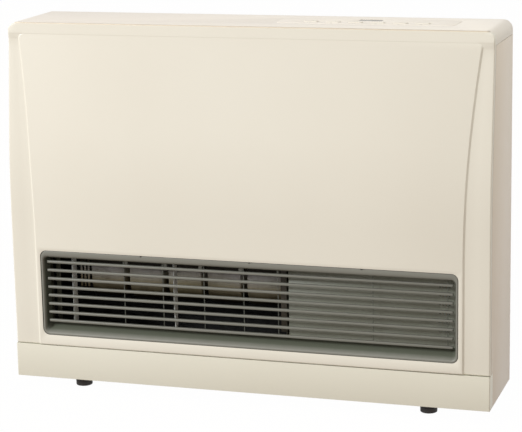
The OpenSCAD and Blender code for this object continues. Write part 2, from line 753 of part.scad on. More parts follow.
module heat_shield() color("silver") in_cabinet() {
    x0 = wall_left_x - inner_t;
    x1 = outlet_x + inner_t;
    block([x0, air_y0 - inner_t, duct_z1], [x1, air_y0, air_top_z + inner_t]);
    block([x0, air_y0 - inner_t / 2, air_top_z], [x1, back_in, air_top_z + inner_t]);
}

// Crossflow rotor: forward curved blades through round discs, on a through shaft.
module crossflow_rotor() color("lightgray") in_cabinet() {
    blade_r = 9;
    depth = rotor_r - 12;
    translate([rotor_x0, rotor_y, rotor_z]) rotate([0, 90, 0]) {
        linear_extrude(rotor_l) for (i = [0:rotor_blades - 1]) rotate(i * 360 / rotor_blades)
            intersection() {
                translate([(rotor_r + depth) / 2 + 0.5, -blade_r + 2]) difference() {
                    circle(blade_r);
                    circle(blade_r - blade_t);
                }
                translate([depth, -4]) square([rotor_r - 1 - depth, 9]);
            }
        for (i = [0:rotor_bays]) translate([0, 0, i * (rotor_l - disc_t) / rotor_bays]) difference() {
            cylinder(h = disc_t, r = rotor_r);
            if (i > 0 && i < rotor_bays) translate([0, 0, -1]) cylinder(h = disc_t + 2, r = depth - 6);
        }
        translate([0, 0, 0]) cylinder(h = 16, r = hub_r - 2);
        translate([0, 0, rotor_l - 16]) cylinder(h = 16, r = hub_r - 2);
        translate([0, 0, -22]) cylinder(h = rotor_l + 22 + outlet_x - rotor_x1 + 30, r = shaft_r);
    }
}

// A rubber mounted bush on the left wall.
module rotor_bearing() color("dimgray") in_cabinet() difference() {
    union() {
        rod_x(wall_left_x, wall_left_x + bearing_l, rotor_y, rotor_z, 11);
        rod_x(wall_left_x, wall_left_x + 3, rotor_y, rotor_z, 20);
    }
    rod_x(wall_left_x - 1, wall_left_x + bearing_l + 1, rotor_y, rotor_z, shaft_r + run_gap);
}

// The scroll behind and under the rotor and the tongue in front of it.
module fan_scroll() color("silver") in_cabinet() {
    r = rotor_r + scroll_gap;
    along_x(wall_left_x, outlet_x) {
        translate([rotor_y, rotor_z]) intersection() {
            difference() {
                circle(r + inner_t);
                circle(r);
            }
            translate([-r - 2, 0]) square([r + 2, r + 2]);
        }
        translate([rotor_y - 4, rotor_z + r]) square([back_in - rotor_y + 4, inner_t]);
        translate([rotor_y - r - inner_t, rotor_z - 11]) square([inner_t, 12]);
        polygon([[rotor_y - r - inner_t, rotor_z - 10], [rotor_y - r, rotor_z - 10],
                 [air_y0 + inner_t, rotor_z - 62], [air_y0, rotor_z - 62], [air_y0, rotor_z - 60]]);
        polygon([[back_in, guard_z0 + 12], [back_in, guard_z0 + 10], [rotor_y + 26, rotor_z - r + 3],
                 [rotor_y + 26, rotor_z - r + 5]]);
    }
}

module fan_motor() color("dimgray") in_cabinet() {
    x0 = outlet_x + inner_t;
    difference() {
        union() {
            rod_x(x0 + 6, x0 + 6 + fan_motor_l, rotor_y, rotor_z, fan_motor_r);
            rod_x(x0, x0 + 6, rotor_y, rotor_z, fan_motor_r + 8);
        }
        rod_x(x0 - 1, x0 + 36, rotor_y, rotor_z, shaft_r + run_gap);
    }
}

// Pressed steel cells with round bottoms, joined by a header under the combustion chamber.
module heat_exchanger() color("slategray") in_cabinet() {
    t = 1;
    r = cell_d / 2;
    header_h = 14;
    for (i = [0:cell_n - 1]) difference() {
        along_x(cell_x0 + i * cell_pitch, cell_x0 + i * cell_pitch + cell_w) {
            translate([cell_y0 + r, cell_z + r]) circle(r);
            translate([cell_y0, cell_z + r]) square([cell_d, chamber_z - header_h / 2 - cell_z - r]);
        }
        along_x(cell_x0 + i * cell_pitch + t, cell_x0 + i * cell_pitch + cell_w - t) {
            translate([cell_y0 + r, cell_z + r]) circle(r - t);
            translate([cell_y0 + t, cell_z + r])
                square([cell_d - 2 * t, chamber_z - header_h - cell_z - r - t]);
        }
    }
    // pressed bridges low between the cells, which carry the gas from one to the next
    for (i = [0:cell_n - 2])
        rod_x(cell_x0 + i * cell_pitch + cell_w - 0.3, cell_x0 + (i + 1) * cell_pitch + 0.3,
              cell_y0 + r + 12, cell_z + r + 18, 16);
    block([cell_x0, cell_y0, chamber_z - header_h], [cells_x1, cell_y0 + cell_d, chamber_z]);
    // outlet stub on the last cell
    block([cells_x1 - 0.3, house_y1, house_z - 30], [outlet_x - 4, house_y1 + 28, house_z + 30]);
}

// A drum with round edges and pressed stiffening beads.
module combustion_chamber() color("slategray") in_cabinet() {
    t = 1.5;
    y1 = cell_y0 + cell_d;
    z1 = chamber_z + chamber_h;
    difference() {
        union() {
            along_x(chamber_x0, chamber_x1) round_rect([cell_y0, chamber_z], [y1, z1], chamber_r);
            for (i = [1:5]) let (x = chamber_x0 + i * bead_pitch)
                along_x(x - 4, x + 4) round_rect([cell_y0 - 2, chamber_z + 2], [y1 + 2, z1 + 2], chamber_r);
            // foot that seats on the cells' header
            block([cell_x0, cell_y0 + 8, chamber_z], [cells_x1, y1 - 8, chamber_z + 6]);
        }
        along_x(chamber_x0 + t, chamber_x1 - t)
            round_rect([cell_y0 + t, chamber_z + t], [y1 - t, z1 - t], chamber_r - t);
    }
    rod_x(wall_left_x, chamber_x0 + 1, cell_y0 + cell_d / 2, chamber_z + chamber_h / 2, 26);
}

module burner_box() color("silver") in_cabinet() {
    t = 1.5;
    flange_x = outlet_x + inner_t;
    difference() {
        block([chamber_x1, burner_y0, burner_z0], [burner_x1, burner_y1, burner_z1]);
        block([chamber_x1 + t, burner_y0 + t, burner_z0 + t], [burner_x1 - t, burner_y1 - t, burner_z1 - t]);
    }
    difference() {
        block([flange_x, burner_y0 - 8, burner_z0 - 8], [flange_x + t, burner_y1 + 8, burner_z1 + 8]);
        block([outlet_x, burner_y0 + 1, burner_z0 + 1], [outlet_x + 5, burner_y1 - 1, burner_z1 - 1]);
    }
}

module overheat_switch() color("white") in_cabinet() {
    x = chamber_x0 + 3.5 * bead_pitch;
    z = chamber_z + chamber_h / 2;
    rod_y(cell_y0 - 9, cell_y0, x, z, 8);
    block([x - 12, cell_y0 - 1.2, z - 4], [x + 12, cell_y0, z + 4]);
}

// ---- exhaust and fresh air -----------------------------------------------------------------

module exhaust_duct() color("slategray") in_cabinet() difference() {
    block([outlet_x - 4, house_y1, house_z - 30], [house_x + 36, house_y1 + 36, house_z + 30]);
    block([outlet_x - 5, house_y1 + 1.2, house_z - 28.8], [house_x + 34.8, house_y1 + 34.8, house_z + 28.8]);
    rod_y(house_y1 - 1, house_y1 + 5, house_x, house_z, suction_r);
}

// A volute: a round case with an upward outlet that ends at the exhaust pipe.
module exhaust_fan_housing() color("darkgray") in_cabinet() {
    t = 1.5;
    x1 = house_x + fan_house_r;
    top = flue_z + exhaust_r + 6;
    difference() {
        union() {
            rod_y(house_y0, house_y1, house_x, house_z, fan_house_r);
            block([house_x + 4, house_y0, house_z], [x1, house_y1, top]);
        }
        rod_y(house_y0 + t, house_y1 - t, house_x, house_z, fan_house_r - t);
        block([house_x + 4 + t, house_y0 + t, house_z], [x1 - t, house_y1 - t, top - t]);
        rod_y(house_y0 - 1, house_y0 + 3, house_x, house_z, 9);
        rod_y(house_y1 - 3, house_y1 + 1, house_x, house_z, suction_r);
        rod_y(house_y1 - 3, house_y1 + 1, flue_x, flue_z, exhaust_r - flue_t - 2);
    }
}

// A backplate with radial blades on a hub and a shaft.
module exhaust_fan_rotor() color("silver") in_cabinet() {
    y0 = house_y0 + 6;
    y1 = house_y1 - 7;
    rod_y(y0, y0 + 1.6, house_x, house_z, ex_rotor_r);
    rod_y(y0, y0 + 14, house_x, house_z, 9);
    for (i = [0:11]) translate([house_x, 0, house_z]) rotate([0, i * 30, 0])
        translate([24, y0, 0]) rotate([0, 25, 0]) cube([ex_rotor_r - 27, y1 - y0, 1.4]);
    rod_y(house_y0 - 24, y0 + 1, house_x, house_z, ex_shaft_r);
}

module exhaust_fan_motor() color("dimgray") in_cabinet() difference() {
    union() {
        rod_y(house_y0 - ex_motor_l, house_y0 - 3, house_x, house_z, ex_motor_r);
        rod_y(house_y0 - 3, house_y0, house_x, house_z, ex_motor_r + 6);
    }
    rod_y(house_y0 - 30, house_y0 + 1, house_x, house_z, ex_shaft_r + run_gap);
}

module exhaust_pipe() color("silver") in_cabinet() difference() {
    rod_y(house_y1, cab_d + wall_gap, flue_x, flue_z, exhaust_r);
    rod_y(house_y1 - 1, cab_d + wall_gap + 1, flue_x, flue_z, exhaust_r - flue_t);
}

module flue_collar() color("silver") in_cabinet() difference() {
    union() {
        rod_y(back_in - 1, cab_d + wall_gap, flue_x, flue_z, collar_r);
        rod_y(cab_d, cab_d + 1.5, flue_x, flue_z, collar_r + 14);
    }
    rod_y(back_in - 2, cab_d + wall_gap + 1, flue_x, flue_z, collar_r - flue_t);
}

// A sheet box that takes the fresh air from the collar to the hose, round the exhaust pipe.
module intake_box() color("darkgray") in_cabinet() difference() {
    t = 1.2;
    y1 = back_in - 1;
    x0 = flue_x - intake_half;
    x1 = flue_x + intake_half;
    z0 = flue_z - intake_half;
    z1 = flue_z + intake_half;
    union() {
        difference() {
            block([x0, intake_y0, z0], [x1, y1, z1]);
            block([x0 + t, intake_y0 + t, z0 + t], [x1 - t, y1 + 1, z1 - t]);
        }
        difference() {
            block([x0 - 10, y1 - t, z0 - 10], [x1 + 10, y1 + 1, z1 + 10]);
            block([x0 + t, y1 - 2 * t, z0 + t], [x1 - t, y1 + 2, z1 - t]);
        }
    }
    rod_y(intake_y0 - 1, intake_y0 + 3, flue_x, flue_z, exhaust_r + run_gap);
    rod_z(z1 - 3, z1 + 1, flue_x + 15, hose_y, hose_r - 1.5);
}

// A moulded elbow from the intake box to the burner box.
module intake_hose() color("dimgray") in_cabinet() {
    x = flue_x + 15;
    z0 = flue_z + intake_half;
    difference() {
        union() {
            rod_z(z0, hose_z - hose_bend, x, hose_y, hose_r);
            translate([x - hose_bend, hose_y, hose_z - hose_bend]) rotate([90, 0, 0])
                rotate_extrude(angle = 90) translate([hose_bend, 0]) circle(hose_r);
            rod_x(burner_x1, x - hose_bend, hose_y, hose_z, hose_r);
        }
        rod_z(z0 - 1, hose_z - hose_bend, x, hose_y, hose_r - 1.5);
        translate([x - hose_bend, hose_y, hose_z - hose_bend]) rotate([90, 0, 0])
            rotate_extrude(angle = 90) translate([hose_bend, 0]) circle(hose_r - 1.5);
        rod_x(burner_x1 - 1, x - hose_bend, hose_y, hose_z, hose_r - 1.5);
    }
}

// ---- gas train -----------------------------------------------------------------------------

module gas_inlet() color("goldenrod") in_cabinet() difference() {
    y1 = cab_d + wall_gap - 8;
    union() {
        rod_y(valve_y1, y1, gas_x, gas_z, gas_pipe_r);
        rod_y(y1 - 18, y1, gas_x, gas_z, gas_thread_r);
        translate([gas_x, y1 - 28, gas_z]) rotate([-90, 0, 0])
            cylinder(h = 10, r = gas_thread_r + 4.5, $fn = 6);
    }
    rod_y(valve_y1 - 1, y1 + 1, gas_x, gas_z, gas_pipe_r - 1.5);
}

module gas_valve() color("silver") in_cabinet() {
    x0 = gas_x - 36;
    x1 = gas_x + 22;
    block([x0, valve_y0, gas_z - 22], [x1, valve_y1, gas_z + 30]);
    // the solenoid on top
    rod_z(gas_z + 30, gas_z + 62, x0 + 40, (valve_y0 + valve_y1) / 2 + 6, 13);
    // bracket down to the base tray
    block([x0 + 4, valve_y1 - 3, tray_top], [x1 - 4, valve_y1 - 1, gas_z - 22]);
    block([x0 + 14, valve_y1 - 20, tray_top], [x1 - 4, valve_y1 - 1, tray_top + 2]);
}

// A bent pipe from the valve up and across to the burner box.
module gas_manifold() color("goldenrod") in_cabinet() {
    x = gas_x - 22;
    y = manifold_y + 10;
    bend = 20;
    rod_z(gas_z + 30, manifold_z - bend, x, y, gas_pipe_r);
    translate([x - bend, y, manifold_z - bend]) rotate([90, 0, 0])
        rotate_extrude(angle = 90) translate([bend, 0]) circle(gas_pipe_r);
    rod_x(burner_x1, x - bend, y, manifold_z, gas_pipe_r);
    rod_x(burner_x1, burner_x1 + 8, y, manifold_z, gas_pipe_r + 4);
    rod_z(gas_z + 30, gas_z + 40, x, y, gas_pipe_r + 4);
}

// A ceramic electrode on the burner box's front.
module electrode(x) in_cabinet() {
    z = (burner_z0 + burner_z1) / 2;
    color("white") rod_y(burner_y0 - 26, burner_y0, x, z, 4);
    color("silver") block([x - 9, burner_y0 - 1.5, z - 6], [x + 9, burner_y0, z + 6]);
    color("silver") rod_y(burner_y0 - 34, burner_y0 - 25, x, z, 1.5);
}

module spark_igniter() electrode(outlet_x + 30);
module flame_rod() electrode(outlet_x + 62);

// ---- electrics -----------------------------------------------------------------------------

board_y = 56;
board_z1 = cab_h - 67;
board_z0 = board_z1 - 142;
board_l = 279;

module board_plate() color("gainsboro") in_cabinet() {
    block([outlet_x + inner_t, board_y, board_z0], [outlet_x + inner_t + board_l, board_y + inner_t, board_z1]);
    block([outlet_x + inner_t, board_y, board_z0], [outlet_x + 2 * inner_t, board_y + 24, board_z1]);
    for (x = [outlet_x + 30, outlet_x + board_l - 19], z = [board_z0 + 15, board_z1 - 15])
        rod_y(board_y - 8, board_y + 0.5, x, z, 3);
}

module main_board() color("darkgreen") in_cabinet() {
    y1 = board_y - 8;
    y0 = y1 - 1.6;
    x0 = outlet_x + 20;
    block([x0, y0, board_z0 + 5], [x0 + board_l - 29, y1, board_z1 - 5]);
    for (i = [0:3]) block([x0 + 12 + 28 * i, y0 - 13, board_z0 + 12], [x0 + 32 + 28 * i, y0, board_z0 + 38]);
    for (i = [0:2]) rod_y(y0 - 15, y0, x0 + 150 + 30 * i, board_z0 + 30, 9);
    block([x0 + 14, y0 - 9, board_z1 - 34], [x0 + 110, y0, board_z1 - 16]);
}

module transformer() color("dimgray") in_cabinet() {
    x = outlet_x + 108;
    y = cab_d / 2 + 17;
    block([x - 36, y - 22, tray_top + 6], [x + 36, y + 22, tray_top + 60]);
    block([x - 24, y - 32, tray_top + 14], [x + 24, y + 32, tray_top + 50]);
    block([x - 46, y - 22, tray_top], [x + 46, y + 22, tray_top + 6]);
}

// ---- rear fittings -------------------------------------------------------------------------

// A slotted channel on the rear panel, open at both ends, in which the filters slide.
module rear_guard() color("gainsboro") in_cabinet() {
    t = 1.2;
    slot_pitch = 17;
    slot_n = floor((guard_x1 - guard_x0 - 30) / slot_pitch);
    slots_x = guard_mid - (slot_n - 1) / 2 * slot_pitch;
    difference() {
        block([guard_x0, guard_y1 - t, guard_z0], [guard_x1, guard_y1, guard_z1]);
        for (i = [0:slot_n - 1], z = [guard_z0 + 14, (guard_z0 + guard_z1) / 2 + 4])
            translate([slots_x + i * slot_pitch - 4, guard_y1 - 3, z])
                cube([8, 6, (guard_z1 - guard_z0) / 2 - 18]);
    }
    for (z = [guard_z0, guard_z1 - t]) block([guard_x0, cab_d, z], [guard_x1, guard_y1 - t / 2, z + t]);
    block([guard_x0, cab_d, guard_z1 - t / 2], [guard_x1, cab_d + t, guard_z1 + guard_lip]);
    block([guard_x0, cab_d, guard_z0 - guard_lip], [guard_x1, cab_d + t, guard_z0 + t / 2]);
    // guide ribs and the stop between the two filters
    for (y = [filter_y - 2.4, filter_y + filter_t + 0.4], z = [guard_z0 + t / 2, guard_z1 - t - 5])
        block([guard_x0, y, z], [guard_x1, y + 2, z + 5 + t / 2]);
    block([guard_mid - 1, filter_y - 2.4, guard_z0 + t / 2],
          [guard_mid + 1, guard_y1 - t / 2, guard_z1 - t / 2]);
}

// A framed net with a finger tab at its outer end; sx is the side that it slides out to.
module air_filter(sx)
    color("dimgray") in_cabinet() translate([guard_mid, 0, 0]) mirror([sx < 0 ? 1 : 0, 0, 0]) {
    x0 = 1.5;
    x1 = x0 + filter_l;
    rim = 7;
    z1 = filter_z0 + filter_h;
    difference() {
        block([x0, filter_y, filter_z0], [x1, filter_y + filter_t, z1]);
        block([x0 + rim, filter_y - 1, filter_z0 + rim], [x1 - rim, filter_y + filter_t + 1, z1 - rim]);
    }
    for (i = [1:5]) let (x = x0 + i * filter_l / 6)
        block([x - 1, filter_y + 1.5, filter_z0 + rim / 2], [x + 1, filter_y + filter_t - 1.5, z1 - rim / 2]);
    for (i = [1:4]) let (z = filter_z0 + i * filter_h / 5)
        block([x0 + rim / 2, filter_y + 1.5, z - 1], [x1 - rim / 2, filter_y + filter_t - 1.5, z + 1]);
    mid_z = filter_z0 + filter_h / 2;
    block([x1 - 0.5, filter_y + 1, mid_z - 22], [x1 + 12, filter_y + filter_t - 1, mid_z + 22]);
}

module filter_left() air_filter(-1);
module filter_right() air_filter(1);

// Two folded brackets that stand off the rear panel, each with two holes for wall screws.
module wall_brackets() color("silver") in_cabinet() for (sx = [-1, 1]) difference() {
    w = 46;
    t = 1.6;
    x = sx * bracket_x;
    y1 = cab_d + wall_gap;
    low_hole = bracket_z + 7;
    top = low_hole + bracket_rise + 8;
    union() {
        block([x - w / 2, cab_d, bracket_z - t], [x + w / 2, y1, bracket_z]);
        block([x - w / 2, cab_d, bracket_z - bracket_flange], [x + w / 2, cab_d + t, bracket_z - t / 2]);
        block([x - w / 2, y1 - t, bracket_z - t], [x + w / 2, y1, top]);
    }
    for (z = [low_hole, low_hole + bracket_rise]) rod_y(y1 - 5, y1 + 1, x, z, bracket_hole_r);
}

// The mains lead's entry: a rubber grommet.
module cord_grommet() color("dimgray") in_cabinet() difference() {
    x = half_w - 45;
    z = gas_z + 60;
    union() {
        rod_y(back_in - 4, cab_d + 5, x, z, 7 - run_gap);
        rod_y(back_in - 4, back_in, x, z, 10);
        rod_y(cab_d, cab_d + 5, x, z, 10);
    }
    rod_y(back_in - 5, cab_d + 6, x, z, 4);
}

// Pan head screws round the rear panel.
module casing_screws() color("silver") in_cabinet()
    for (x = [-half_w + 8, half_w - 8], i = [0:4]) let (z = 30 + i * (seam_z - 54) / 4) {
        rod_y(cab_d, cab_d + 1.2, x, z, 4.2);
        rod_y(cab_d + 1.2, cab_d + 2.2, x, z, 3.4);
    }

front_panel();
kick_plate();
side_panel_left();
side_panel_right();
top_cover();
back_panel();
base_tray();
foot_nuts();
foot_front_left();
foot_front_right();
foot_rear_left();
foot_rear_right();
control_fascia();
display_window();
power_button();
mode_button();
timer_button();
lock_button();
cooler_button();
warmer_button();
control_board();
grille_bezel();
grille_bars();
grille_vanes();
blank_plate();
outlet_duct();
air_box_left_wall();
divider_wall();
heat_shield();
crossflow_rotor();
rotor_bearing();
fan_scroll();
fan_motor();
heat_exchanger();
combustion_chamber();
burner_box();
overheat_switch();
exhaust_duct();
exhaust_fan_housing();
exhaust_fan_rotor();
exhaust_fan_motor();
exhaust_pipe();
flue_collar();
intake_box();
intake_hose();
gas_inlet();
gas_valve();
gas_manifold();
spark_igniter();
flame_rod();
board_plate();
main_board();
transformer();
rear_guard();
filter_left();
filter_right();
wall_brackets();
cord_grommet();
casing_screws();
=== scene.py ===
"""Looks of a wall mounted gas convector heater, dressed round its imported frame.

Blender works in metres in the part's own frame: +Z up, the louvred front towards -Y, the wall at
+Y. The sizes of pieces are millimetres in the cabinet's own frame (x from the centre line, y from the
kick plate's face, z from the cabinet's underside), and place() turns them into the part's frame.
Finishes and the studio count in metres.
"""

from __future__ import annotations

import json
import logging
import math
from dataclasses import dataclass, field
from enum import Enum
from functools import cached_property
from typing import Callable, Iterable, Sequence

import bmesh
import bpy
from mathutils import Matrix, Vector

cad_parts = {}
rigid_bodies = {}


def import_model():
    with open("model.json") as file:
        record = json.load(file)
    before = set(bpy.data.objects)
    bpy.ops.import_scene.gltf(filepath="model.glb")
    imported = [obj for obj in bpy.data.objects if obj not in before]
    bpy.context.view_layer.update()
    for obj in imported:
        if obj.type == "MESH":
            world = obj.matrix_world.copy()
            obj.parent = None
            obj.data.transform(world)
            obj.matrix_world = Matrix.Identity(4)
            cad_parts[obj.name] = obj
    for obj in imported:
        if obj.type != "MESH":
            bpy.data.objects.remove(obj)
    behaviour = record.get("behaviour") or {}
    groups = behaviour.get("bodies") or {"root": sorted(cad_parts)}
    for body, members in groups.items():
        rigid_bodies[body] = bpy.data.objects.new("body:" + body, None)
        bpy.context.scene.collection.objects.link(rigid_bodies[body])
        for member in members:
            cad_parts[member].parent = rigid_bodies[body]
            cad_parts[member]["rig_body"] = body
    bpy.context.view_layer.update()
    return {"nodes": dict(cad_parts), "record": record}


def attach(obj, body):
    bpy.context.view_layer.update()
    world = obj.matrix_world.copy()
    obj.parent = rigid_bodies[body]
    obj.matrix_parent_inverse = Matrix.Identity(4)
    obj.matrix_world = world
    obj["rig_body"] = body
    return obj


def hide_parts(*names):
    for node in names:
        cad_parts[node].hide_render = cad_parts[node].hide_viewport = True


log = logging.getLogger("heater")

MM = 0.001
FRONT_MM = -125.0
FOOT_MM = 22.0
TOUCH = 1e-6  # metres; points closer than this are one point
WHITE = (1.0, 1.0, 1.0)
UNIT = (1.0, 1.0, 1.0)
Rgb = tuple[float, float, float]
Point = tuple[float, float, float]
Outline = Sequence[tuple[float, float]]
Stops = Sequence[tuple[float, Rgb]]


def place(x: float, y: float, z: float) -> Vector:
    """Turn a point of the cabinet's frame, in millimetres, into metres in the part's frame."""
    return Vector((x, y + FRONT_MM, z + FOOT_MM)) * MM


def srgb(red: float, green: float, blue: float) -> Rgb:
    """Turn a screen colour of 0 to 255 into the linear colour that shaders use.

    Args:
        red: red, 0 to 255.
        green: green, 0 to 255.
        blue: blue, 0 to 255.

    Returns:
        The linear colour.
    """
    return tuple(
        c / 12.92 if c <= 0.04045 else ((c + 0.055) / 1.055) ** 2.4
        for c in (red / 255, green / 255, blue / 255)
    )


def ease(share: float) -> float:
    """Smooth step from 0 to 1."""
    k = min(1.0, max(0.0, share))
    return k * k * (3 - 2 * k)


# ---- shaders ---------------------------------------------------------------------------------


class Value:
    """A number that varies over a surface; arithmetic on it adds Math nodes."""

    def __init__(self, tree: "Tree", socket: bpy.types.NodeSocket) -> None:
        """Keep the tree and the output socket that the number comes from."""
        self.tree = tree
        self.socket = socket

    def __add__(self, other: "Value | float") -> "Value":
        """Sum."""
        return self.tree.math("ADD", self, other)

    __radd__ = __add__

    def __sub__(self, other: "Value | float") -> "Value":
        """Difference."""
        return self.tree.math("SUBTRACT", self, other)

    def __rsub__(self, other: "Value | float") -> "Value":
        """Difference from a plain number."""
        return self.tree.math("SUBTRACT", other, self)

    def __mul__(self, other: "Value | float") -> "Value":
        """Product."""
        return self.tree.math("MULTIPLY", self, other)

    __rmul__ = __mul__

    def __truediv__(self, other: "Value | float") -> "Value":
        """Quotient."""
        return self.tree.math("DIVIDE", self, other)

    def __gt__(self, other: "Value | float") -> "Value":
        """1 where this is the greater, otherwise 0."""
        return self.tree.math("GREATER_THAN", self, other)

    def __lt__(self, other: "Value | float") -> "Value":
        """1 where this is the smaller, otherwise 0."""
        return self.tree.math("LESS_THAN", self, other)

    def held(self) -> "Value":
        """The number kept between 0 and 1."""
        return self.tree.value("ShaderNodeClamp", {}, {"Value": self})


class Tree:
    """The node tree of a material or of the world."""

    def __init__(self, owner: bpy.types.Material | bpy.types.World) -> None:
        """Take a material or a world and empty its nodes.

        Args:
            owner: the material or the world.
        """
        owner.use_nodes = True
        self.owner = owner
        self.nodes = owner.node_tree.nodes
        self.links = owner.node_tree.links
        self.nodes.clear()

    @cached_property
    def where(self) -> bpy.types.NodeSocket:
        """The object's coordinates."""
        return self.add("ShaderNodeTexCoord").outputs["Object"]

    def add(
        self, kind: str, settings: dict | None = None, inputs: dict | None = None
    ) -> bpy.types.Node:
        """Add a node.

        Args:
            kind: the node's type name.
            settings: its properties, with a ramp's colours under "stops".
            inputs: a number, colour, Value or socket for each of its inputs, by name or index.

        Returns:
            The node.
        """
        node = self.nodes.new(kind)
        for key, value in (settings or {}).items():
            if key == "stops":
                self._set_stops(node.color_ramp, value)
            else:
                setattr(node, key, value)
        for key, value in (inputs or {}).items():
            self.plug(node.inputs[key], value)
        return node

    def plug(self, target: bpy.types.NodeSocket, value: object) -> None:
        """Link a Value or a socket to an input, or set the input to a plain number or colour.

        Args:
            target: the input.
            value: a Value, a socket, a number or a colour.
        """
        if isinstance(value, Value):
            self.links.new(value.socket, target)
        elif isinstance(value, bpy.types.NodeSocket):
            self.links.new(value, target)
        elif target.type == "RGBA" and len(value) == 3:
            target.default_value = (*value, 1.0)
        else:
            target.default_value = value

    @staticmethod
    def _set_stops(ramp: bpy.types.ColorRamp, stops: Stops) -> None:
        """Give a ramp its stops, each a place from 0 to 1 and a colour.

        Args:
            ramp: the colour ramp.
            stops: a place and a colour for each stop.
        """
        while len(ramp.elements) < len(stops):
            ramp.elements.new(0.5)
        for element, (position, colour) in zip(ramp.elements, stops):
            element.position = position
            element.color = (*colour, 1.0)

    def value(
        self, kind: str, settings: dict | None = None, inputs: dict | None = None, output: int | str = 0
    ) -> Value:
        """A number from one output of a new node."""
        return Value(self, self.add(kind, settings, inputs).outputs[output])

    def math(self, operation: str, *operands: Value | float) -> Value:
        """The result of a Math node on its operands."""
        return self.value("ShaderNodeMath", {"operation": operation}, dict(enumerate(operands)))

    def stretched(self, scale: Point) -> bpy.types.NodeSocket:
        """The object's coordinates, each axis times its own factor."""
        return self.add("ShaderNodeMapping", {}, {"Vector": self.where, "Scale": scale}).outputs[0]

    def noise(
        self, scale: float, detail: float = 2.0, rough: float = 0.5, stretch: Point = UNIT
    ) -> Value:
        """Cloudy noise of about 0 to 1, with this many clouds to the metre.

        Args:
            scale: how many clouds there are to the metre.
            detail: how many finer layers it has.
            rough: how strong each finer layer is.
            stretch: a factor for each axis.

        Returns:
            The noise.
        """
        vector = self.where if stretch == UNIT else self.stretched(stretch)
        inputs = {"Vector": vector, "Scale": scale, "Detail": detail, "Roughness": rough}
        return self.value("ShaderNodeTexNoise", {}, inputs)

    def cells(self, scale: float, output: int | str = 0, **settings: str) -> Value:
        """A Voronoi pattern's distance, or another of its outputs, with this many cells to the metre."""
        return self.value("ShaderNodeTexVoronoi", settings, {"Vector": self.where, "Scale": scale}, output)

    def axis(self, name: str) -> Value:
        """The object coordinate along X, Y or Z, in metres."""
        return self.value("ShaderNodeSeparateXYZ", {}, {0: self.where}, name)

    def ramp(self, value: Value, stops: Stops) -> bpy.types.NodeSocket:
        """A colour for each value from 0 to 1."""
        return self.add("ShaderNodeValToRGB", {"stops": stops}, {0: value}).outputs[0]

    def mix(
        self, factor: Value | float, first: object, second: object, blend: str = "MIX"
    ) -> bpy.types.NodeSocket:
        """Two colours mixed; factor 0 gives the first."""
        settings = {"data_type": "RGBA", "blend_type": blend}
        return self.add("ShaderNodeMix", settings, {0: factor, 6: first, 7: second}).outputs[2]

    def bump(self, height: Value, strength: float, distance: float) -> bpy.types.NodeSocket:
        """A normal from a height."""
        inputs = {"Height": height, "Strength": strength, "Distance": distance}
        return self.add("ShaderNodeBump", {}, inputs).outputs[0]

    def surface(self, **inputs: object) -> bpy.types.Material:
        """Finish the material with a Principled surface; an underscore in a name stands for a space.

        Args:
            inputs: what goes into each of the surface's inputs.

        Returns:
            The finished material.
        """
        named = {key.replace("_", " "): value for key, value in inputs.items()}
        shader = self.add("ShaderNodeBsdfPrincipled", {}, named)
        self.add("ShaderNodeOutputMaterial", {}, {"Surface": shader.outputs[0]})
        return self.owner


# ---- finishes --------------------------------------------------------------------------------


@dataclass(frozen=True)
class Finish:
    """A finish that makes its material once and then gives the same one."""

    name: str

    def build(self, tree: Tree) -> bpy.types.Material:
        """Fill the tree; each finish has its own."""
        raise NotImplementedError

    def material(self) -> bpy.types.Material:
        """The finish's material."""
        made = bpy.data.materials.get(self.name)
        return made or self.build(Tree(bpy.data.materials.new(self.name)))


@dataclass(frozen=True)
class Enamel(Finish):
    """Stoved enamel on sheet steel: an even coat with a faint orange peel and slow drifts of tone."""

    colour: Rgb = (0.8, 0.76, 0.64)
    shade: Rgb = (0.77, 0.72, 0.6)
    rough: float = 0.4
    peel: float = 0.06
    grain: float = 520.0

    def coat(self, tree: Tree) -> bpy.types.NodeSocket:
        """The coat's colour: a slow drift of tone with fine specks.

        Args:
            tree: the node tree to fill.

        Returns:
            The coat's colour.
        """
        drift = tree.noise(2.4, 3, 0.55)
        specks = tree.noise(1500, 2, 0.6)
        tone = (drift * 1.5 - 0.3 + (specks - 0.5) * 0.25).held()
        return tree.mix(tone, self.colour, self.shade)

    def build(self, tree: Tree) -> bpy.types.Material:
        """The coat and its peel.

        Args:
            tree: the node tree to fill.

        Returns:
            The finished material.
        """
        peel = tree.noise(self.grain, 2, 0.45) + 0.35 * tree.noise(self.grain / 9, 1, 0.4)
        return tree.surface(
            Base_Color=self.coat(tree),
            Roughness=self.rough + 0.1 * (tree.noise(38, 3, 0.6) - 0.5),
            Normal=tree.bump(peel, self.peel, 0.0004),
        )


@dataclass(frozen=True)
class Moulding(Finish):
    """Moulded plastic with a spark eroded grain."""

    colour: Rgb = (0.1, 0.1, 0.1)
    shade: Rgb = (0.08, 0.08, 0.08)
    rough: float = 0.5
    grain: float = 1700.0
    depth: float = 0.12

    def build(self, tree: Tree) -> bpy.types.Material:
        """A fine grain, with flow marks.

        Args:
            tree: the node tree to fill.

        Returns:
            The finished material.
        """
        flow = tree.noise(14, 2, 0.5, (1, 1, 3))
        return tree.surface(
            Base_Color=tree.mix(flow, self.colour, self.shade),
            Roughness=self.rough + 0.12 * (tree.noise(90, 2, 0.5) - 0.5),
            Normal=tree.bump(tree.noise(self.grain, 3, 0.6), self.depth, 0.0003),
        )


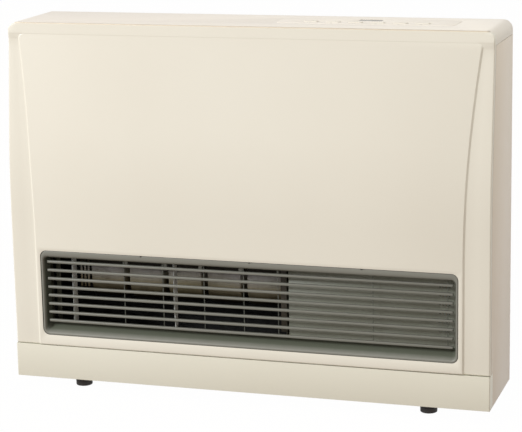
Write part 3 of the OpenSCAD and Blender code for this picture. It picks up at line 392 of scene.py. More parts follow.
@dataclass(frozen=True)
class Galvanised(Finish):
    """Hot dipped sheet with its spangles."""

    colour: Rgb = (0.52, 0.53, 0.53)
    dark: Rgb = (0.36, 0.37, 0.38)
    spangle: float = 85.0
    metal: float = 0.85

    def sheet(self, tree: Tree) -> tuple[Value, Value, bpy.types.NodeSocket, bpy.types.NodeSocket]:
        """The sheet's spangles, each with a tone of its own, under a cloudy film.

        Args:
            tree: the node tree to fill.

        Returns:
            The spangles' tone, the film, the zinc's colour and its relief.
        """
        tone = tree.value("ShaderNodeSeparateColor", {}, {0: tree.cells(self.spangle, "Color")})
        film = tree.noise(9, 4, 0.6)
        zinc = tree.mix((tone * 0.7 + film * 0.3).held(), self.colour, self.dark)
        relief = tree.bump(tree.noise(300, 3, 0.6) + tone * 0.5, 0.06, 0.0003)
        return tone, film, zinc, relief

    def build(self, tree: Tree) -> bpy.types.Material:
        """Each spangle has a roughness of its own too.

        Args:
            tree: the node tree to fill.

        Returns:
            The finished material.
        """
        tone, film, zinc, relief = self.sheet(tree)
        roughness = 0.36 + 0.22 * tone + 0.1 * film
        return tree.surface(Base_Color=zinc, Metallic=self.metal, Roughness=roughness, Normal=relief)


@dataclass(frozen=True)
class SootedSheet(Galvanised):
    """Galvanised sheet, blackened on the face towards the burner."""

    soot: Rgb = (0.012, 0.011, 0.01)
    face: float = 0.0764

    def build(self, tree: Tree) -> bpy.types.Material:
        """Spangles behind, soot before.

        Args:
            tree: the node tree to fill.

        Returns:
            The finished material.
        """
        tone, _, zinc, relief = self.sheet(tree)
        inside = tree.axis("Y") < self.face
        return tree.surface(
            Base_Color=tree.mix(inside, zinc, self.soot),
            Metallic=self.metal * (1 - inside),
            Roughness=0.36 + 0.22 * tone + 0.3 * inside,
            Normal=relief,
        )


@dataclass(frozen=True)
class RecessEnamel(Enamel):
    """Enamel whose colour goes over into a second one from a front depth to a back depth. This paints light
    and shade by depth: a darker second colour is painted shade towards the back of a recess, and a lighter
    one is painted light.
    """

    deep: Rgb = (0.1, 0.1, 0.08)
    front: float = -0.1225
    back: float = -0.1005

    def coat(self, tree: Tree) -> bpy.types.NodeSocket:
        """The coat's colour, mixed from front to back with the deep one, as painted light and shade by depth.

        Args:
            tree: the node tree to fill.

        Returns:
            The coat's colour.
        """
        depth = (tree.axis("Y") - self.front) / (self.back - self.front)
        # painted depth shading, broken up by a little noise
        dust_and_depth_shading = (depth + 0.3 * (tree.noise(60, 3, 0.6) - 0.5)).held()
        return tree.mix(dust_and_depth_shading, super().coat(tree), self.deep)


@dataclass(frozen=True)
class HeatedSteel(Finish):
    """Aluminised steel browned by heat, in bands of height whose ends are painted shade: dark at its foot,
    where it curves under, and black at its crown, in the shadow of the duct's roof.
    """

    # painted shade at both ends: the near black foot band stands for the shade under the curve, the crown
    # band for the shadow of the duct's roof
    bands: tuple[tuple[float, Rgb], ...] = (
        (0.0, (0.02, 0.016, 0.01)), (0.2, (0.1, 0.085, 0.05)), (0.42, (0.38, 0.34, 0.25)),
        (0.58, (0.58, 0.57, 0.54)), (0.7, (0.5, 0.5, 0.52)), (0.82, (0.015, 0.013, 0.012)),
    )
    low: float = 0.17
    high: float = 0.25
    scorch: Rgb = (0.06, 0.046, 0.03)
    olive: Rgb = (0.72, 0.7, 0.5)

    def build(self, tree: Tree) -> bpy.types.Material:
        """The bands, broken up by clouds, drawn streaks and olive patches.

        Args:
            tree: the node tree to fill.

        Returns:
            The finished material.
        """
        clouds = tree.noise(26, 4, 0.6)
        height = ((tree.axis("Z") - self.low) / (self.high - self.low) + (clouds - 0.5) * 0.16).held()
        streaks = tree.noise(160, 3, 0.6, (1, 1, 0.12))
        tint = tree.mix(0.3 * streaks, tree.ramp(height, self.bands), self.scorch)
        patches = (tree.noise(13, 2, 0.5) * 2.4 - 0.8).held()
        return tree.surface(
            Base_Color=tree.mix(0.6 * patches, tint, self.olive, "MULTIPLY"),
            Metallic=0.25,
            Specular_IOR_Level=0.15,
            Roughness=0.5 + 0.25 * clouds,
            Normal=tree.bump(streaks + 0.4 * clouds, 0.12, 0.0004),
        )


@dataclass(frozen=True)
class BareMetal(Finish):
    """Bare or plated metal, with the marks of its making along one axis."""

    colour: Rgb = (0.6, 0.6, 0.6)
    dark: Rgb = (0.42, 0.42, 0.42)
    rough: float = 0.32
    lay: Point = (1, 1, 30)
    scale: float = 60.0

    def build(self, tree: Tree) -> bpy.types.Material:
        """Drawn lines over a patchy film.

        Args:
            tree: the node tree to fill.

        Returns:
            The finished material.
        """
        lines = tree.noise(self.scale, 3, 0.65, self.lay)
        film = tree.noise(20, 4, 0.6)
        return tree.surface(
            Base_Color=tree.mix((0.6 * lines + 0.4 * film).held(), self.colour, self.dark),
            Metallic=0.95,
            Roughness=self.rough + 0.2 * (lines - 0.5) + 0.1 * film,
            Normal=tree.bump(lines, 0.07, 0.0003),
        )


@dataclass(frozen=True)
class Casting(Finish):
    """Die cast or sand cast metal with a dull, pitted skin."""

    colour: Rgb = (0.42, 0.42, 0.42)
    dark: Rgb = (0.25, 0.25, 0.25)
    rough: float = 0.55

    def build(self, tree: Tree) -> bpy.types.Material:
        """Pits and a cloudy skin.

        Args:
            tree: the node tree to fill.

        Returns:
            The finished material.
        """
        skin = tree.noise(45, 4, 0.65)
        pits = tree.cells(420)
        return tree.surface(
            Base_Color=tree.mix((skin * 1.3 - 0.2).held(), self.colour, self.dark),
            Metallic=0.7,
            Roughness=self.rough + 0.15 * (skin - 0.5),
            Normal=tree.bump(pits + 0.5 * skin, 0.2, 0.0005),
        )


@dataclass(frozen=True)
class Rubber(Finish):
    """Moulded rubber, dusty on its high spots."""

    colour: Rgb = (0.018, 0.014, 0.012)
    dust_and_depth_shading: Rgb = (0.06, 0.05, 0.045)

    def build(self, tree: Tree) -> bpy.types.Material:
        """A dull skin with a little dust.

        Args:
            tree: the node tree to fill.

        Returns:
            The finished material.
        """
        dust_and_depth_shading = (tree.noise(70, 4, 0.65) * 1.6 - 0.6).held()
        return tree.surface(
            Base_Color=tree.mix(dust_and_depth_shading, self.colour, self.dust_and_depth_shading),
            Roughness=0.62 + 0.25 * dust_and_depth_shading,
            Normal=tree.bump(tree.noise(900, 3, 0.6), 0.2, 0.0004),
        )


@dataclass(frozen=True)
class SmokedWindow(Finish):
    """Dark polished plastic over a display that is off."""

    colour: Rgb = (0.012, 0.013, 0.015)
    film: Rgb = (0.03, 0.03, 0.032)

    def build(self, tree: Tree) -> bpy.types.Material:
        """A polished face with faint wiping marks.

        Args:
            tree: the node tree to fill.

        Returns:
            The finished material.
        """
        wiped = tree.noise(50, 3, 0.6, (0.3, 2, 1))
        return tree.surface(
            Base_Color=tree.mix(wiped, self.colour, self.film),
            Roughness=0.08 + 0.12 * wiped,
            Normal=tree.bump(wiped, 0.02, 0.0002),
            Coat_Weight=0.6,
        )


@dataclass(frozen=True)
class CircuitBoard(Finish):
    """Green solder mask over copper tracks."""

    mask: Rgb = (0.012, 0.09, 0.04)
    track: Rgb = (0.03, 0.17, 0.07)
    pad: Rgb = (0.55, 0.5, 0.42)

    def build(self, tree: Tree) -> bpy.types.Material:
        """Square tracks and a few tinned pads.

        Args:
            tree: the node tree to fill.

        Returns:
            The finished material.
        """
        way = tree.cells(190, distance="CHEBYCHEV", feature="F2")
        tracks = ((way > 0.55) * (way < 0.72)).held()
        pads = tree.cells(260) < 0.16
        colour = tree.mix(pads, tree.mix(tracks, self.mask, self.track), self.pad)
        return tree.surface(
            Base_Color=colour,
            Metallic=pads * 0.8,
            Roughness=0.4 - 0.12 * pads,
            Normal=tree.bump(tracks + pads, 0.2, 0.0001),
        )


@dataclass(frozen=True)
class Ceramic(Finish):
    """Glazed white ceramic with a slightly yellowed foot."""

    colour: Rgb = (0.78, 0.76, 0.7)
    aged: Rgb = (0.62, 0.56, 0.44)

    def build(self, tree: Tree) -> bpy.types.Material:
        """Cloudy glaze.

        Args:
            tree: the node tree to fill.

        Returns:
            The finished material.
        """
        age = (tree.noise(40, 4, 0.6) * 1.4 - 0.4).held()
        return tree.surface(
            Base_Color=tree.mix(age, self.colour, self.aged),
            Roughness=0.16 + 0.2 * age,
            Normal=tree.bump(tree.noise(200, 2, 0.5), 0.05, 0.0003),
        )


@dataclass(frozen=True)
class CoreStack(Finish):
    """Iron laminations, seen as fine lines across one axis."""

    colour: Rgb = (0.07, 0.07, 0.075)
    edge: Rgb = (0.025, 0.025, 0.028)

    def build(self, tree: Tree) -> bpy.types.Material:
        """Half millimetre sheets, varnished.

        Args:
            tree: the node tree to fill.

        Returns:
            The finished material.
        """
        sheets = tree.noise(2000, 0, 0.5, (0.001, 1, 0.001))
        return tree.surface(
            Base_Color=tree.mix(sheets, self.colour, self.edge),
            Metallic=0.6,
            Roughness=0.45 + 0.2 * sheets,
            Normal=tree.bump(sheets, 0.4, 0.0002),
        )


class Look(Enum):
    """Every finish on the heater, by its place."""

    CABINET = Enamel("cabinet_enamel", srgb(232, 229, 216), srgb(228, 224, 210))
    # Side panels: a darker, warmer copy of the cabinet's enamel, painted shade for the sides turned away from
    # the key lamp.
    SIDE = Enamel("shaded_side_enamel", srgb(227, 216, 199), srgb(222, 211, 193))
    KICK = Enamel("kick_enamel", srgb(227, 225, 210), srgb(223, 220, 204))
    COVER = Enamel("cover_moulding", srgb(233, 228, 217), srgb(229, 223, 211), 0.46, 0.1, 900.0)
    FASCIA = Moulding("fascia_moulding", srgb(233, 228, 217), srgb(229, 223, 211), 0.5)
    # Bezel: its deep colour is painted shade, darker towards the back of the outlet's recess and on its sill.
    BEZEL = RecessEnamel(
        "bezel_enamel", srgb(131, 131, 122), srgb(122, 122, 113), 0.42, 0.08, 700.0,
        deep=srgb(84, 88, 75), front=-0.1235, back=-0.1165,
    )
    LOUVRE = Enamel("louvre_enamel", srgb(119, 119, 110), srgb(110, 110, 101), 0.42, 0.08, 700.0)
    # Vanes: a lighter, cooler copy of the grille's grey with a near white deep colour, painted light on faces
    # that lie in the bars' shade.
    VANE = RecessEnamel(
        "vane_enamel", srgb(160, 163, 158), srgb(151, 154, 149), 0.45, 0.08, 700.0,
        deep=srgb(230, 235, 232), front=-0.1098, back=-0.1086,
    )
    # Blank plate: lighter than the bars' grey, painted light on a plate that lies in the bars' shade.
    PLATE = Enamel("plate_enamel", srgb(140, 143, 130), srgb(132, 135, 122), 0.5, 0.08, 600.0)
    # Wires: a darker copy of the bars' grey, painted shade so that the lit wires in front of the plate do not
    # stand out.
    WIRE = Enamel("wire_enamel", srgb(96, 98, 90), srgb(86, 88, 80), 0.45, 0.06, 700.0)
    BUTTON = Moulding("button_moulding", srgb(227, 222, 210), srgb(222, 217, 204), 0.45)
    MARK = Moulding("panel_print", srgb(186, 182, 172), srgb(176, 172, 163), 0.5)
    LENS = Moulding("lamp_lens", (0.32, 0.5, 0.16), (0.25, 0.42, 0.12), 0.2)
    WINDOW = SmokedWindow("smoked_window", (0.34, 0.33, 0.31), (0.42, 0.41, 0.38))
    ZINC = Galvanised("galvanised_sheet")
    BACK = SootedSheet("sooted_sheet")
    # Duct: its deep colour is painted shade, near black towards the back of the duct.
    DUCT = RecessEnamel(
        "duct_coat", (0.055, 0.05, 0.03), (0.045, 0.04, 0.025), 0.6, 0.1, 500.0,
        deep=(0.006, 0.006, 0.005), front=-0.08, back=-0.072,
    )
    AIR_BOX = Enamel("air_box_coat", (0.012, 0.011, 0.01), (0.02, 0.018, 0.015), 0.75, 0.1, 500.0)
    FLANGE = Enamel("flange_coat", (0.11, 0.115, 0.085), (0.08, 0.08, 0.058), 0.6, 0.1, 500.0)
    # Right outlet flange: a plain dark brown coat.
    SCORCHED = Enamel("dark_flange_coat", (0.07, 0.055, 0.035), (0.045, 0.036, 0.024), 0.6, 0.1, 500.0)
    CELLS = HeatedSteel("heated_cells")
    RIBS = HeatedSteel("scorched_ribs", scorch=(0.2, 0.15, 0.09))
    FLUE = Galvanised("flue_sheet", (0.36, 0.35, 0.33), (0.24, 0.21, 0.17), 60.0)
    ROTOR = BareMetal("rotor_aluminium", (0.66, 0.67, 0.68), (0.5, 0.51, 0.52), 0.3, (30, 1, 1))
    FIXING = BareMetal("zinc_plate", (0.62, 0.62, 0.6), (0.48, 0.48, 0.45), 0.34)
    BRASS = BareMetal("brass", (0.66, 0.45, 0.18), (0.45, 0.29, 0.1), 0.26, (1, 30, 1))
    CASTING = Casting("valve_casting")
    MOTOR = Enamel("motor_enamel", (0.02, 0.02, 0.021), (0.03, 0.03, 0.031), 0.4, 0.12, 420.0)
    RUBBER = Rubber("foot_rubber")
    # A dark strip in the side joints: painted shadow where the gap's shade falls.
    SEAL = Rubber("painted_shadow_strip", (0.03, 0.022, 0.018), (0.06, 0.045, 0.038))
    HOSE = Rubber("hose_rubber", (0.02, 0.02, 0.02), (0.05, 0.05, 0.05))
    FILTER = Moulding("filter_moulding", (0.025, 0.026, 0.028), (0.018, 0.018, 0.02), 0.5)
    NET = Moulding("filter_net", (0.04, 0.042, 0.045), (0.025, 0.026, 0.028), 0.6)
    BOARD = CircuitBoard("circuit_board")
    CERAMIC = Ceramic("white_ceramic")
    CORE = CoreStack("transformer_core")

    @property
    def material(self) -> bpy.types.Material:
        """The material of this finish."""
        return self.value.material()


# ---- mesh work -------------------------------------------------------------------------------


class Bench:
    """Where pieces are modelled: one object at a time, in edit mode, with the rest deselected.

    Sizes and places are given in the cabinet's millimetres.
    """

    SMOOTH_ANGLE = math.radians(36)

    @staticmethod
    def clear() -> None:
        """Leave edit mode and deselect everything."""
        if bpy.context.object and bpy.context.object.mode != "OBJECT":
            bpy.ops.object.mode_set(mode="OBJECT")
        bpy.ops.object.select_all(action="DESELECT")

    @classmethod
    def take(cls, piece: bpy.types.Object) -> bpy.types.Object:
        """Select one object alone and make it active.

        Args:
            piece: the object.

        Returns:
            The same object.
        """
        cls.clear()
        piece.select_set(True)
        bpy.context.view_layer.objects.active = piece
        return piece

    @classmethod
    def open(cls, piece: bpy.types.Object) -> None:
        """Take a piece into edit mode with all of it selected.

        Args:
            piece: the object.
        """
        cls.take(piece)
        bpy.ops.object.mode_set(mode="EDIT")
        bpy.ops.mesh.select_all(action="SELECT")

    @classmethod
    def settle(cls, name: str) -> bpy.types.Object:
        """Name the active object and put its place into its mesh.

        Args:
            name: the name of the object and its mesh.

        Returns:
            The object.
        """
        piece = cls.take(bpy.context.object)
        piece.name = piece.data.name = name
        bpy.ops.object.transform_apply(location=True, rotation=True, scale=True)
        return piece

    @classmethod
    def box(cls, name: str, low: Point, high: Point) -> bpy.types.Object:
        """A cube primitive between two corners, in the cabinet's millimetres.

        Args:
            name: the new object's name.
            low: the corner with the smallest coordinates.
            high: the corner with the largest.

        Returns:
            The box.
        """
        cls.clear()
        a, b = place(*low), place(*high)
        bpy.ops.mesh.primitive_cube_add(size=1, location=(a + b) / 2)
        bpy.context.object.scale = b - a
        return cls.settle(name)

    @classmethod
    def rod(
        cls, name: str, start: Point, end: Point, radius: float, sides: int = 32
    ) -> bpy.types.Object:
        """A cylinder primitive between two points, in the cabinet's millimetres.

        Args:
            name: the new object's name.
            start: the middle of one end.
            end: the middle of the other end.
            radius: its radius.
            sides: how many flat sides make it round.

        Returns:
            The rod.
        """
        cls.clear()
        a, b = place(*start), place(*end)
        bpy.ops.mesh.primitive_cylinder_add(
            vertices=sides, radius=radius * MM, depth=(b - a).length, location=(a + b) / 2,
            rotation=(b - a).to_track_quat("Z", "Y").to_euler(),
        )
        return cls.settle(name)

    @classmethod
    def grid(cls, name: str, rows: Sequence[Sequence[Point]]) -> bpy.types.Object:
        """A grid primitive whose points are moved to rows of points in the cabinet's millimetres.

        Args:
            name: the new object's name.
            rows: the rows, each with as many points as the first.

        Returns:
            The sheet.
        """
        cls.clear()
        across, up = len(rows[0]), len(rows)
        bpy.ops.mesh.primitive_grid_add(x_subdivisions=across - 1, y_subdivisions=up - 1, size=1)
        piece = cls.settle(name)
        order = sorted(piece.data.vertices, key=lambda v: (round(v.co.y, 5), round(v.co.x, 5)))
        for vertex, point in zip(order, (p for row in rows for p in row)):
            vertex.co = place(*point)
        return piece

    @classmethod
    def weld(cls, piece: bpy.types.Object) -> bpy.types.Object:
        """Merge points that lie together and turn every face outwards.

        Args:
            piece: the object.

        Returns:
            The same object.
        """
        cls.open(piece)
        bpy.ops.mesh.remove_doubles(threshold=TOUCH)
        bpy.ops.mesh.normals_make_consistent(inside=False)
        bpy.ops.object.mode_set(mode="OBJECT")
        return piece

    @classmethod
    def drawn(cls, name: str, points: Iterable[Vector], filled: bool) -> bpy.types.Object:
        """A plane primitive redrawn as a chain of edges, or as the face that they bound.

        Args:
            name: the new object's name.
            points: the points, in metres in the part's frame.
            filled: whether they bound a face.

        Returns:
            The object.
        """
        cls.clear()
        bpy.ops.mesh.primitive_plane_add(size=1)
        piece = cls.settle(name)
        mesh = bmesh.new()
        chain = [mesh.verts.new(point) for point in points]
        if filled:
            mesh.faces.new(chain)
        else:
            for pair in zip(chain, chain[1:]):
                mesh.edges.new(pair)
        mesh.to_mesh(piece.data)
        mesh.free()
        return piece

    @classmethod
    def lathe(
        cls, name: str, profile: Outline, centre: Point, axis: Point, steps: int = 40
    ) -> bpy.types.Object:
        """Spin a profile about an axis.

        Args:
            name: the new object's name.
            profile: points of (radius, distance along the axis).
            centre: where the axis starts.
            axis: its direction.
            steps: how many steps make the whole turn.

        Returns:
            The turned piece.
        """
        along = Vector(axis).normalized()
        out = along.orthogonal().normalized()
        origin = place(*centre)
        piece = cls.drawn(name, (origin + (out * r + along * d) * MM for r, d in profile), False)
        cls.open(piece)
        bpy.ops.mesh.spin(steps=steps, angle=math.tau, center=origin, axis=along)
        bpy.ops.object.mode_set(mode="OBJECT")
        return cls.weld(piece)

    @classmethod
    def plate(cls, name: str, outline: Outline, z: float, height: float) -> bpy.types.Object:
        """Extrude an outline upwards from a level.

        Args:
            name: the new object's name.
            outline: its points of (x, y).
            z: the level of its underside.
            height: its thickness.

        Returns:
            The plate.
        """
        piece = cls.drawn(name, (place(x, y, z) for x, y in outline), True)
        cls.open(piece)
        bpy.ops.mesh.extrude_region_move(TRANSFORM_OT_translate={"value": (0, 0, height * MM)})
        bpy.ops.mesh.select_all(action="SELECT")
        bpy.ops.mesh.normals_make_consistent(inside=False)
        bpy.ops.object.mode_set(mode="OBJECT")
        return piece

    @classmethod
    def modify(cls, piece: bpy.types.Object, kind: str, **settings: object) -> bpy.types.Object:
        """Add a modifier with these settings and apply it.

        Args:
            piece: the object.
            kind: the modifier's type.
            settings: its settings by name.

        Returns:
            The same object.
        """
        cls.take(piece)
        modifier = piece.modifiers.new(kind.lower(), kind)
        for key, value in settings.items():
            setattr(modifier, key, value)
        bpy.ops.object.modifier_apply(modifier=modifier.name)
        return piece

    @classmethod
    def soften(
        cls, piece: bpy.types.Object, width: float, steps: int = 2, angle: float = 34.0
    ) -> bpy.types.Object:
        """Round the sharp edges by a width in millimetres, then shade the curves smooth.

        Args:
            piece: the object.
            width: how wide the rounding is, or 0 for none.
            steps: its segments.
            angle: the turn in degrees above which an edge is rounded.

        Returns:
            The same object.
        """
        if width > 0:
            cls.modify(
                piece, "BEVEL", width=width * MM, segments=steps, limit_method="ANGLE",
                angle_limit=math.radians(angle), use_clamp_overlap=True, miter_outer="MITER_ARC",
            )
        cls.take(piece)
        bpy.ops.object.shade_smooth_by_angle(angle=cls.SMOOTH_ANGLE)
        return piece

    @classmethod
    def cut(
        cls, piece: bpy.types.Object, *tools: bpy.types.Object, operation: str = "DIFFERENCE"
    ) -> bpy.types.Object:
        """Cut tools out of a piece, or keep only what it shares with them, and throw them away.

        Args:
            piece: the object.
            tools: the objects to cut with.
            operation: the Boolean modifier's operation.

        Returns:
            The same object.
        """
        for tool in tools:
            cls.modify(piece, "BOOLEAN", operation=operation, object=tool, solver="EXACT")
            bpy.data.objects.remove(tool)
        return piece

    @classmethod
    def join(cls, name: str, pieces: Sequence[bpy.types.Object]) -> bpy.types.Object:
        """Join several objects into one.

        Args:
            name: the new object's name.
            pieces: the objects.

        Returns:
            The joined object.
        """
        cls.take(pieces[0])
        for piece in pieces[1:]:
            piece.select_set(True)
        if len(pieces) > 1:
            bpy.ops.object.join()
        return cls.settle(name)

    @classmethod
    def copied(cls, piece: bpy.types.Object, shift: Point) -> bpy.types.Object:
        """A copy with its own mesh, moved by a step in millimetres.

        Args:
            piece: the object.
            shift: the step.

        Returns:
            The copy.
        """
        twin = piece.copy()
        twin.data = piece.data.copy()
        twin.data.transform(Matrix.Translation(Vector(shift) * MM))
        bpy.context.scene.collection.objects.link(twin)
        return twin

    @classmethod
    def repeated(
        cls, name: str, master: bpy.types.Object, shifts: Iterable[Point]
    ) -> bpy.types.Object:
        """Copies of a master, each moved by a step of its own, joined in place of it.

        Args:
            name: the joined object's name.
            master: the object to copy.
            shifts: a step for each copy.

        Returns:
            The joined object.
        """
        copies = [cls.copied(master, shift) for shift in shifts]
        bpy.data.objects.remove(master)
        return cls.join(name, copies)

    @classmethod
    def bevel_where(
        cls, piece: bpy.types.Object, test: Callable[[Vector, Vector], bool], width: float, steps: int
    ) -> bpy.types.Object:
        """Round only those edges whose two ends pass a test.

        Args:
            piece: the object.
            test: tells from an edge's two ends whether it is rounded.
            width: how wide the rounding is.
            steps: its segments.

        Returns:
            The same object.
        """
        cls.take(piece)
        bpy.ops.object.mode_set(mode="EDIT")
        bpy.ops.mesh.select_mode(type="EDGE")
        mesh = bmesh.from_edit_mesh(piece.data)
        for edge in mesh.edges:
            edge.select_set(test(edge.verts[0].co, edge.verts[1].co))
        bmesh.update_edit_mesh(piece.data)
        bpy.ops.mesh.bevel(offset=width * MM, segments=steps, affect="EDGES")
        bpy.ops.object.mode_set(mode="OBJECT")
        return piece

    @classmethod
    def round_corners(
        cls, piece: bpy.types.Object, axis: int, radius: float, steps: int = 6
    ) -> bpy.types.Object:
        """Round the edges that run along an axis.

        Args:
            piece: the object.
            axis: 0, 1 or 2 for x, y or z.
            radius: the corners' radius.
            steps: their segments.

        Returns:
            The same object.
        """

        def runs_along(a: Vector, b: Vector) -> bool:
            """Whether an edge between these ends runs along the axis."""
            run = abs(a[axis] - b[axis])
            return run > 10 * TOUCH and (a - b).length - run < TOUCH

        return cls.bevel_where(piece, runs_along, radius, steps)


@dataclass
class Frame:
    """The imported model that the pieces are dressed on.

    A CAD node's triangles are welded within CAD_WELD metres, and faces that meet flatter than CAD_FLAT are
    one face.
    """

    CAD_WELD = 2e-6
    CAD_FLAT = math.radians(0.4)

    nodes: dict[str, bpy.types.Object]
    record: dict
    pieces: list[str] = field(default_factory=list)

    def body(self, node: str) -> str:
        """The body that a node rides on."""
        return self.nodes[node]["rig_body"]

    def slot(self, node: str) -> str:
        """The record's material slot of a node."""
        return next(p["material_slot"] for p in self.record["subparts"] if p["node"] == node)

    def dress(
        self, piece: bpy.types.Object, look: Look, *nodes: str, on: str | None = None
    ) -> bpy.types.Object:
        """Give a piece its finish and its body.

        Args:
            piece: the finished piece.
            look: its finish.
            nodes: the CAD nodes that it stands for, the first of which gives its body; its slot in the record
                is looked up but not given to the piece.
            on: for a piece that stands for none, the node that it sits on.

        Returns:
            The piece.
        """
        piece.data.materials.clear()
        piece.data.materials.append(look.material)
        carrier = nodes[0] if nodes else on
        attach(piece, self.body(carrier))
        self.slot(carrier)
        if nodes:
            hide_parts(*nodes)
        self.pieces.append(piece.name)
        log.info("%s rides on %s", piece.name, self.body(carrier))
        return piece

    def merged(self, node: str, name: str, whole: bool = True) -> bpy.types.Object:
        """A copy of a node's mesh with its loose triangles merged.

        Args:
            node: the CAD node.
            name: the copy's name.
            whole: whether its flat faces are made whole, which would break up a sheet full of holes.

        Returns:
            The copy.
        """
        piece = bpy.data.objects.new(name, self.nodes[node].data.copy())
        bpy.context.scene.collection.objects.link(piece)
        Bench.open(piece)
        bpy.ops.mesh.remove_doubles(threshold=self.CAD_WELD)
        if whole:
            bpy.ops.mesh.dissolve_limited(angle_limit=self.CAD_FLAT)
        bpy.ops.object.mode_set(mode="OBJECT")
        return piece

    def soft_copy(
        self, node: str, look: Look, width: float = 0.3, steps: int = 2, whole: bool = True
    ) -> bpy.types.Object:
        """Stand a copy with softened edges in a node's place."""
        piece = Bench.soften(self.merged(node, f"{node}_form", whole), width, steps)
        return self.dress(piece, look, node)

    def finish_node(self, node: str, look: Look) -> None:
        """Give a CAD node a finish and leave its form as it is.

        Args:
            node: the CAD node.
            look: its finish.
        """
        mesh = self.nodes[node].data
        mesh.materials.clear()
        mesh.materials.append(look.material)
        log.info("%s keeps its own form", node)


# ---- the heater ------------------------------------------------------------------------------


@dataclass
class FrontPanel:
    """The pressed front: a leaning sheet with a raised field, rolled edges and the grille's opening.

    The sheet stands upright to lean_z, bends on lean_r and leans back by lean_a from there on. The field's
    sides stand strip_w inside the sheet's, spread on arc_r above arc_z and turn in on field_r at field_z.
    Above it the strips come forward over crown_h, and a crease marks the field's top.
    """

    half_width: float = 465.0
    foot_z: float = 65.3
    top_z: float = 684.4
    sheet: float = 1.2
    turned: float = 8.0
    edge_r: float = 3.4
    corner_r: float = 13.0
    strip_back: float = 2.5
    strip_w: float = 47.0
    field_raise: float = 3.0
    step_w: float = 4.5
    field_z: float = 665.0
    field_r: float = 10.0
    crown_h: float = 20.0
    crown_below: float = 16.0
    crease: float = 0.22
    crease_h: float = 1.5
    arc_z: float = 260.0
    arc_r: float = 2950.0
    lean_z: float = 330.0
    lean_r: float = 1500.0
    lean_a: float = math.radians(6)
    plain_z: float = 170.0
    opening: tuple[float, float, float, float] = (-406.9, 86.1, 406.9, 253.4)
    opening_r: float = 12.9
    opening_y: tuple[float, float] = (-20.0, 30.0)

    def lean(self, z: float) -> float:
        """How far the side strips stand behind the kick plate at height z.

        Args:
            z: the height.

        Returns:
            The distance, towards the wall.
        """
        bend = self.lean_r * math.sin(self.lean_a)
        if z <= self.lean_z:
            return self.strip_back
        if z <= self.lean_z + bend:
            return self.strip_back + self.lean_r - math.sqrt(self.lean_r**2 - (z - self.lean_z) ** 2)
        rise = self.lean_r * (1 - math.cos(self.lean_a))
        return self.strip_back + rise + (z - self.lean_z - bend) * math.tan(self.lean_a)

    def field_half(self, z: float) -> float:
        """Half the width of the raised field at height z.

        Args:
            z: the height.

        Returns:
            Half the width.
        """
        up = min(z, self.field_z)
        arc = self.arc_r - math.sqrt(self.arc_r**2 - (up - self.arc_z) ** 2) if z > self.arc_z else 0.0
        into = max(0.0, up - self.field_z + self.field_r)
        return self.half_width - self.strip_w + arc - (self.field_r - math.sqrt(self.field_r**2 - into**2))

    def crown(self, z: float) -> float:
        """How far the face stands forward at height z where the side strips run out under the top."""
        return self.field_raise * ease((z - self.field_z + self.crown_below) / self.crown_h)

    def half_section(self, z: float) -> list[tuple[float, float]]:
        """The outer face at height z, from the turned edge to the field, as (x, y).

        Args:
            z: the height.

        Returns:
            The points, from the outside in.
        """
        foot = self.foot_z + self.edge_r - z
        roll = self.edge_r - math.sqrt(max(0.0, self.edge_r**2 - foot * foot)) if foot > 0 else 0.0
        back = self.lean(z) + self.turned
        brim = self.crease * ease((z - self.field_z) / self.crease_h)
        base = self.lean(z) - self.crown(z) - brim
        y = base + roll
        field_y = self.lean(z) + roll - self.field_raise - brim
        up = max(0.0, z - (self.top_z - self.corner_r))
        wide = self.half_width - self.corner_r + math.sqrt(max(0.0, self.corner_r**2 - up * up))
        r = self.edge_r
        points = [(wide, back), (wide, 0.4 * base + 0.6 * back)]
        for i in range(7):
            a = math.radians(15 * i)
            points.append((wide - r * (1 - math.cos(a)), max(y, base + r * (1 - math.sin(a)))))
        edge = self.field_half(z)
        points.append(((points[-1][0] + edge) / 2, y))
        for i in range(11):
            points.append((edge - self.step_w * i / 10, y + (field_y - y) * ease(i / 10)))
        return points

    def row(self, z: float) -> list[Point]:
        """One full row of points across the panel at height z.

        Args:
            z: the height.

        Returns:
            The points, from left to right.
        """
        side = self.half_section(z)
        inner_x, inner_y = side[-1]
        middle = [(inner_x * k, inner_y, z) for k in (-0.5, 0.0, 0.5)]
        left = [(-x, y, z) for x, y in side]
        return left + middle + [(x, y, z) for x, y in reversed(side)]

    def heights(self) -> list[float]:
        """The rows' heights: close together at the foot, along the lean and round the top corners.

        Returns:
            The heights, from the foot up.
        """
        corner = self.top_z - self.corner_r
        rows = [self.foot_z + self.edge_r * (1 - math.cos(math.radians(a))) for a in range(0, 91, 15)]
        rows += [self.plain_z, self.arc_z]
        rows += [self.arc_z + (self.field_z - self.field_r - self.arc_z) * i / 30 for i in range(1, 31)]
        rows += [self.field_z - self.field_r + self.field_r * i / 12 for i in range(1, 13)]
        rows += [self.field_z + 0.5 * i for i in range(1, 6)]
        return rows + [corner + self.corner_r * math.sin(math.radians(a)) for a in range(0, 91, 10)]

    def build(self, frame: Frame) -> None:
        """Shape the sheet, turn its top over, give it a thickness and cut the opening.

        Args:
            frame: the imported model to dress.
        """
        rows = [self.row(z) for z in self.heights()]
        back = self.lean(self.top_z) + self.turned
        rows.append([(x, max(y, back), z) for x, y, z in rows[-1]])
        panel = Bench.weld(Bench.grid("front_panel_pressing", rows))
        if sum(p.normal.y * p.area for p in panel.data.polygons) > 0:
            panel.data.flip_normals()
        Bench.modify(panel, "SOLIDIFY", thickness=self.sheet * MM, offset=-1, use_even_offset=True)
        (x0, z0, x1, z1), (y0, y1) = self.opening, self.opening_y
        tool = Bench.box("opening_tool", (x0, y0, z0), (x1, y1, z1))
        Bench.round_corners(tool, 1, self.opening_r, 8)
        frame.dress(Bench.soften(Bench.cut(panel, tool), 0.35, 2, 50), Look.CABINET, "front_panel")


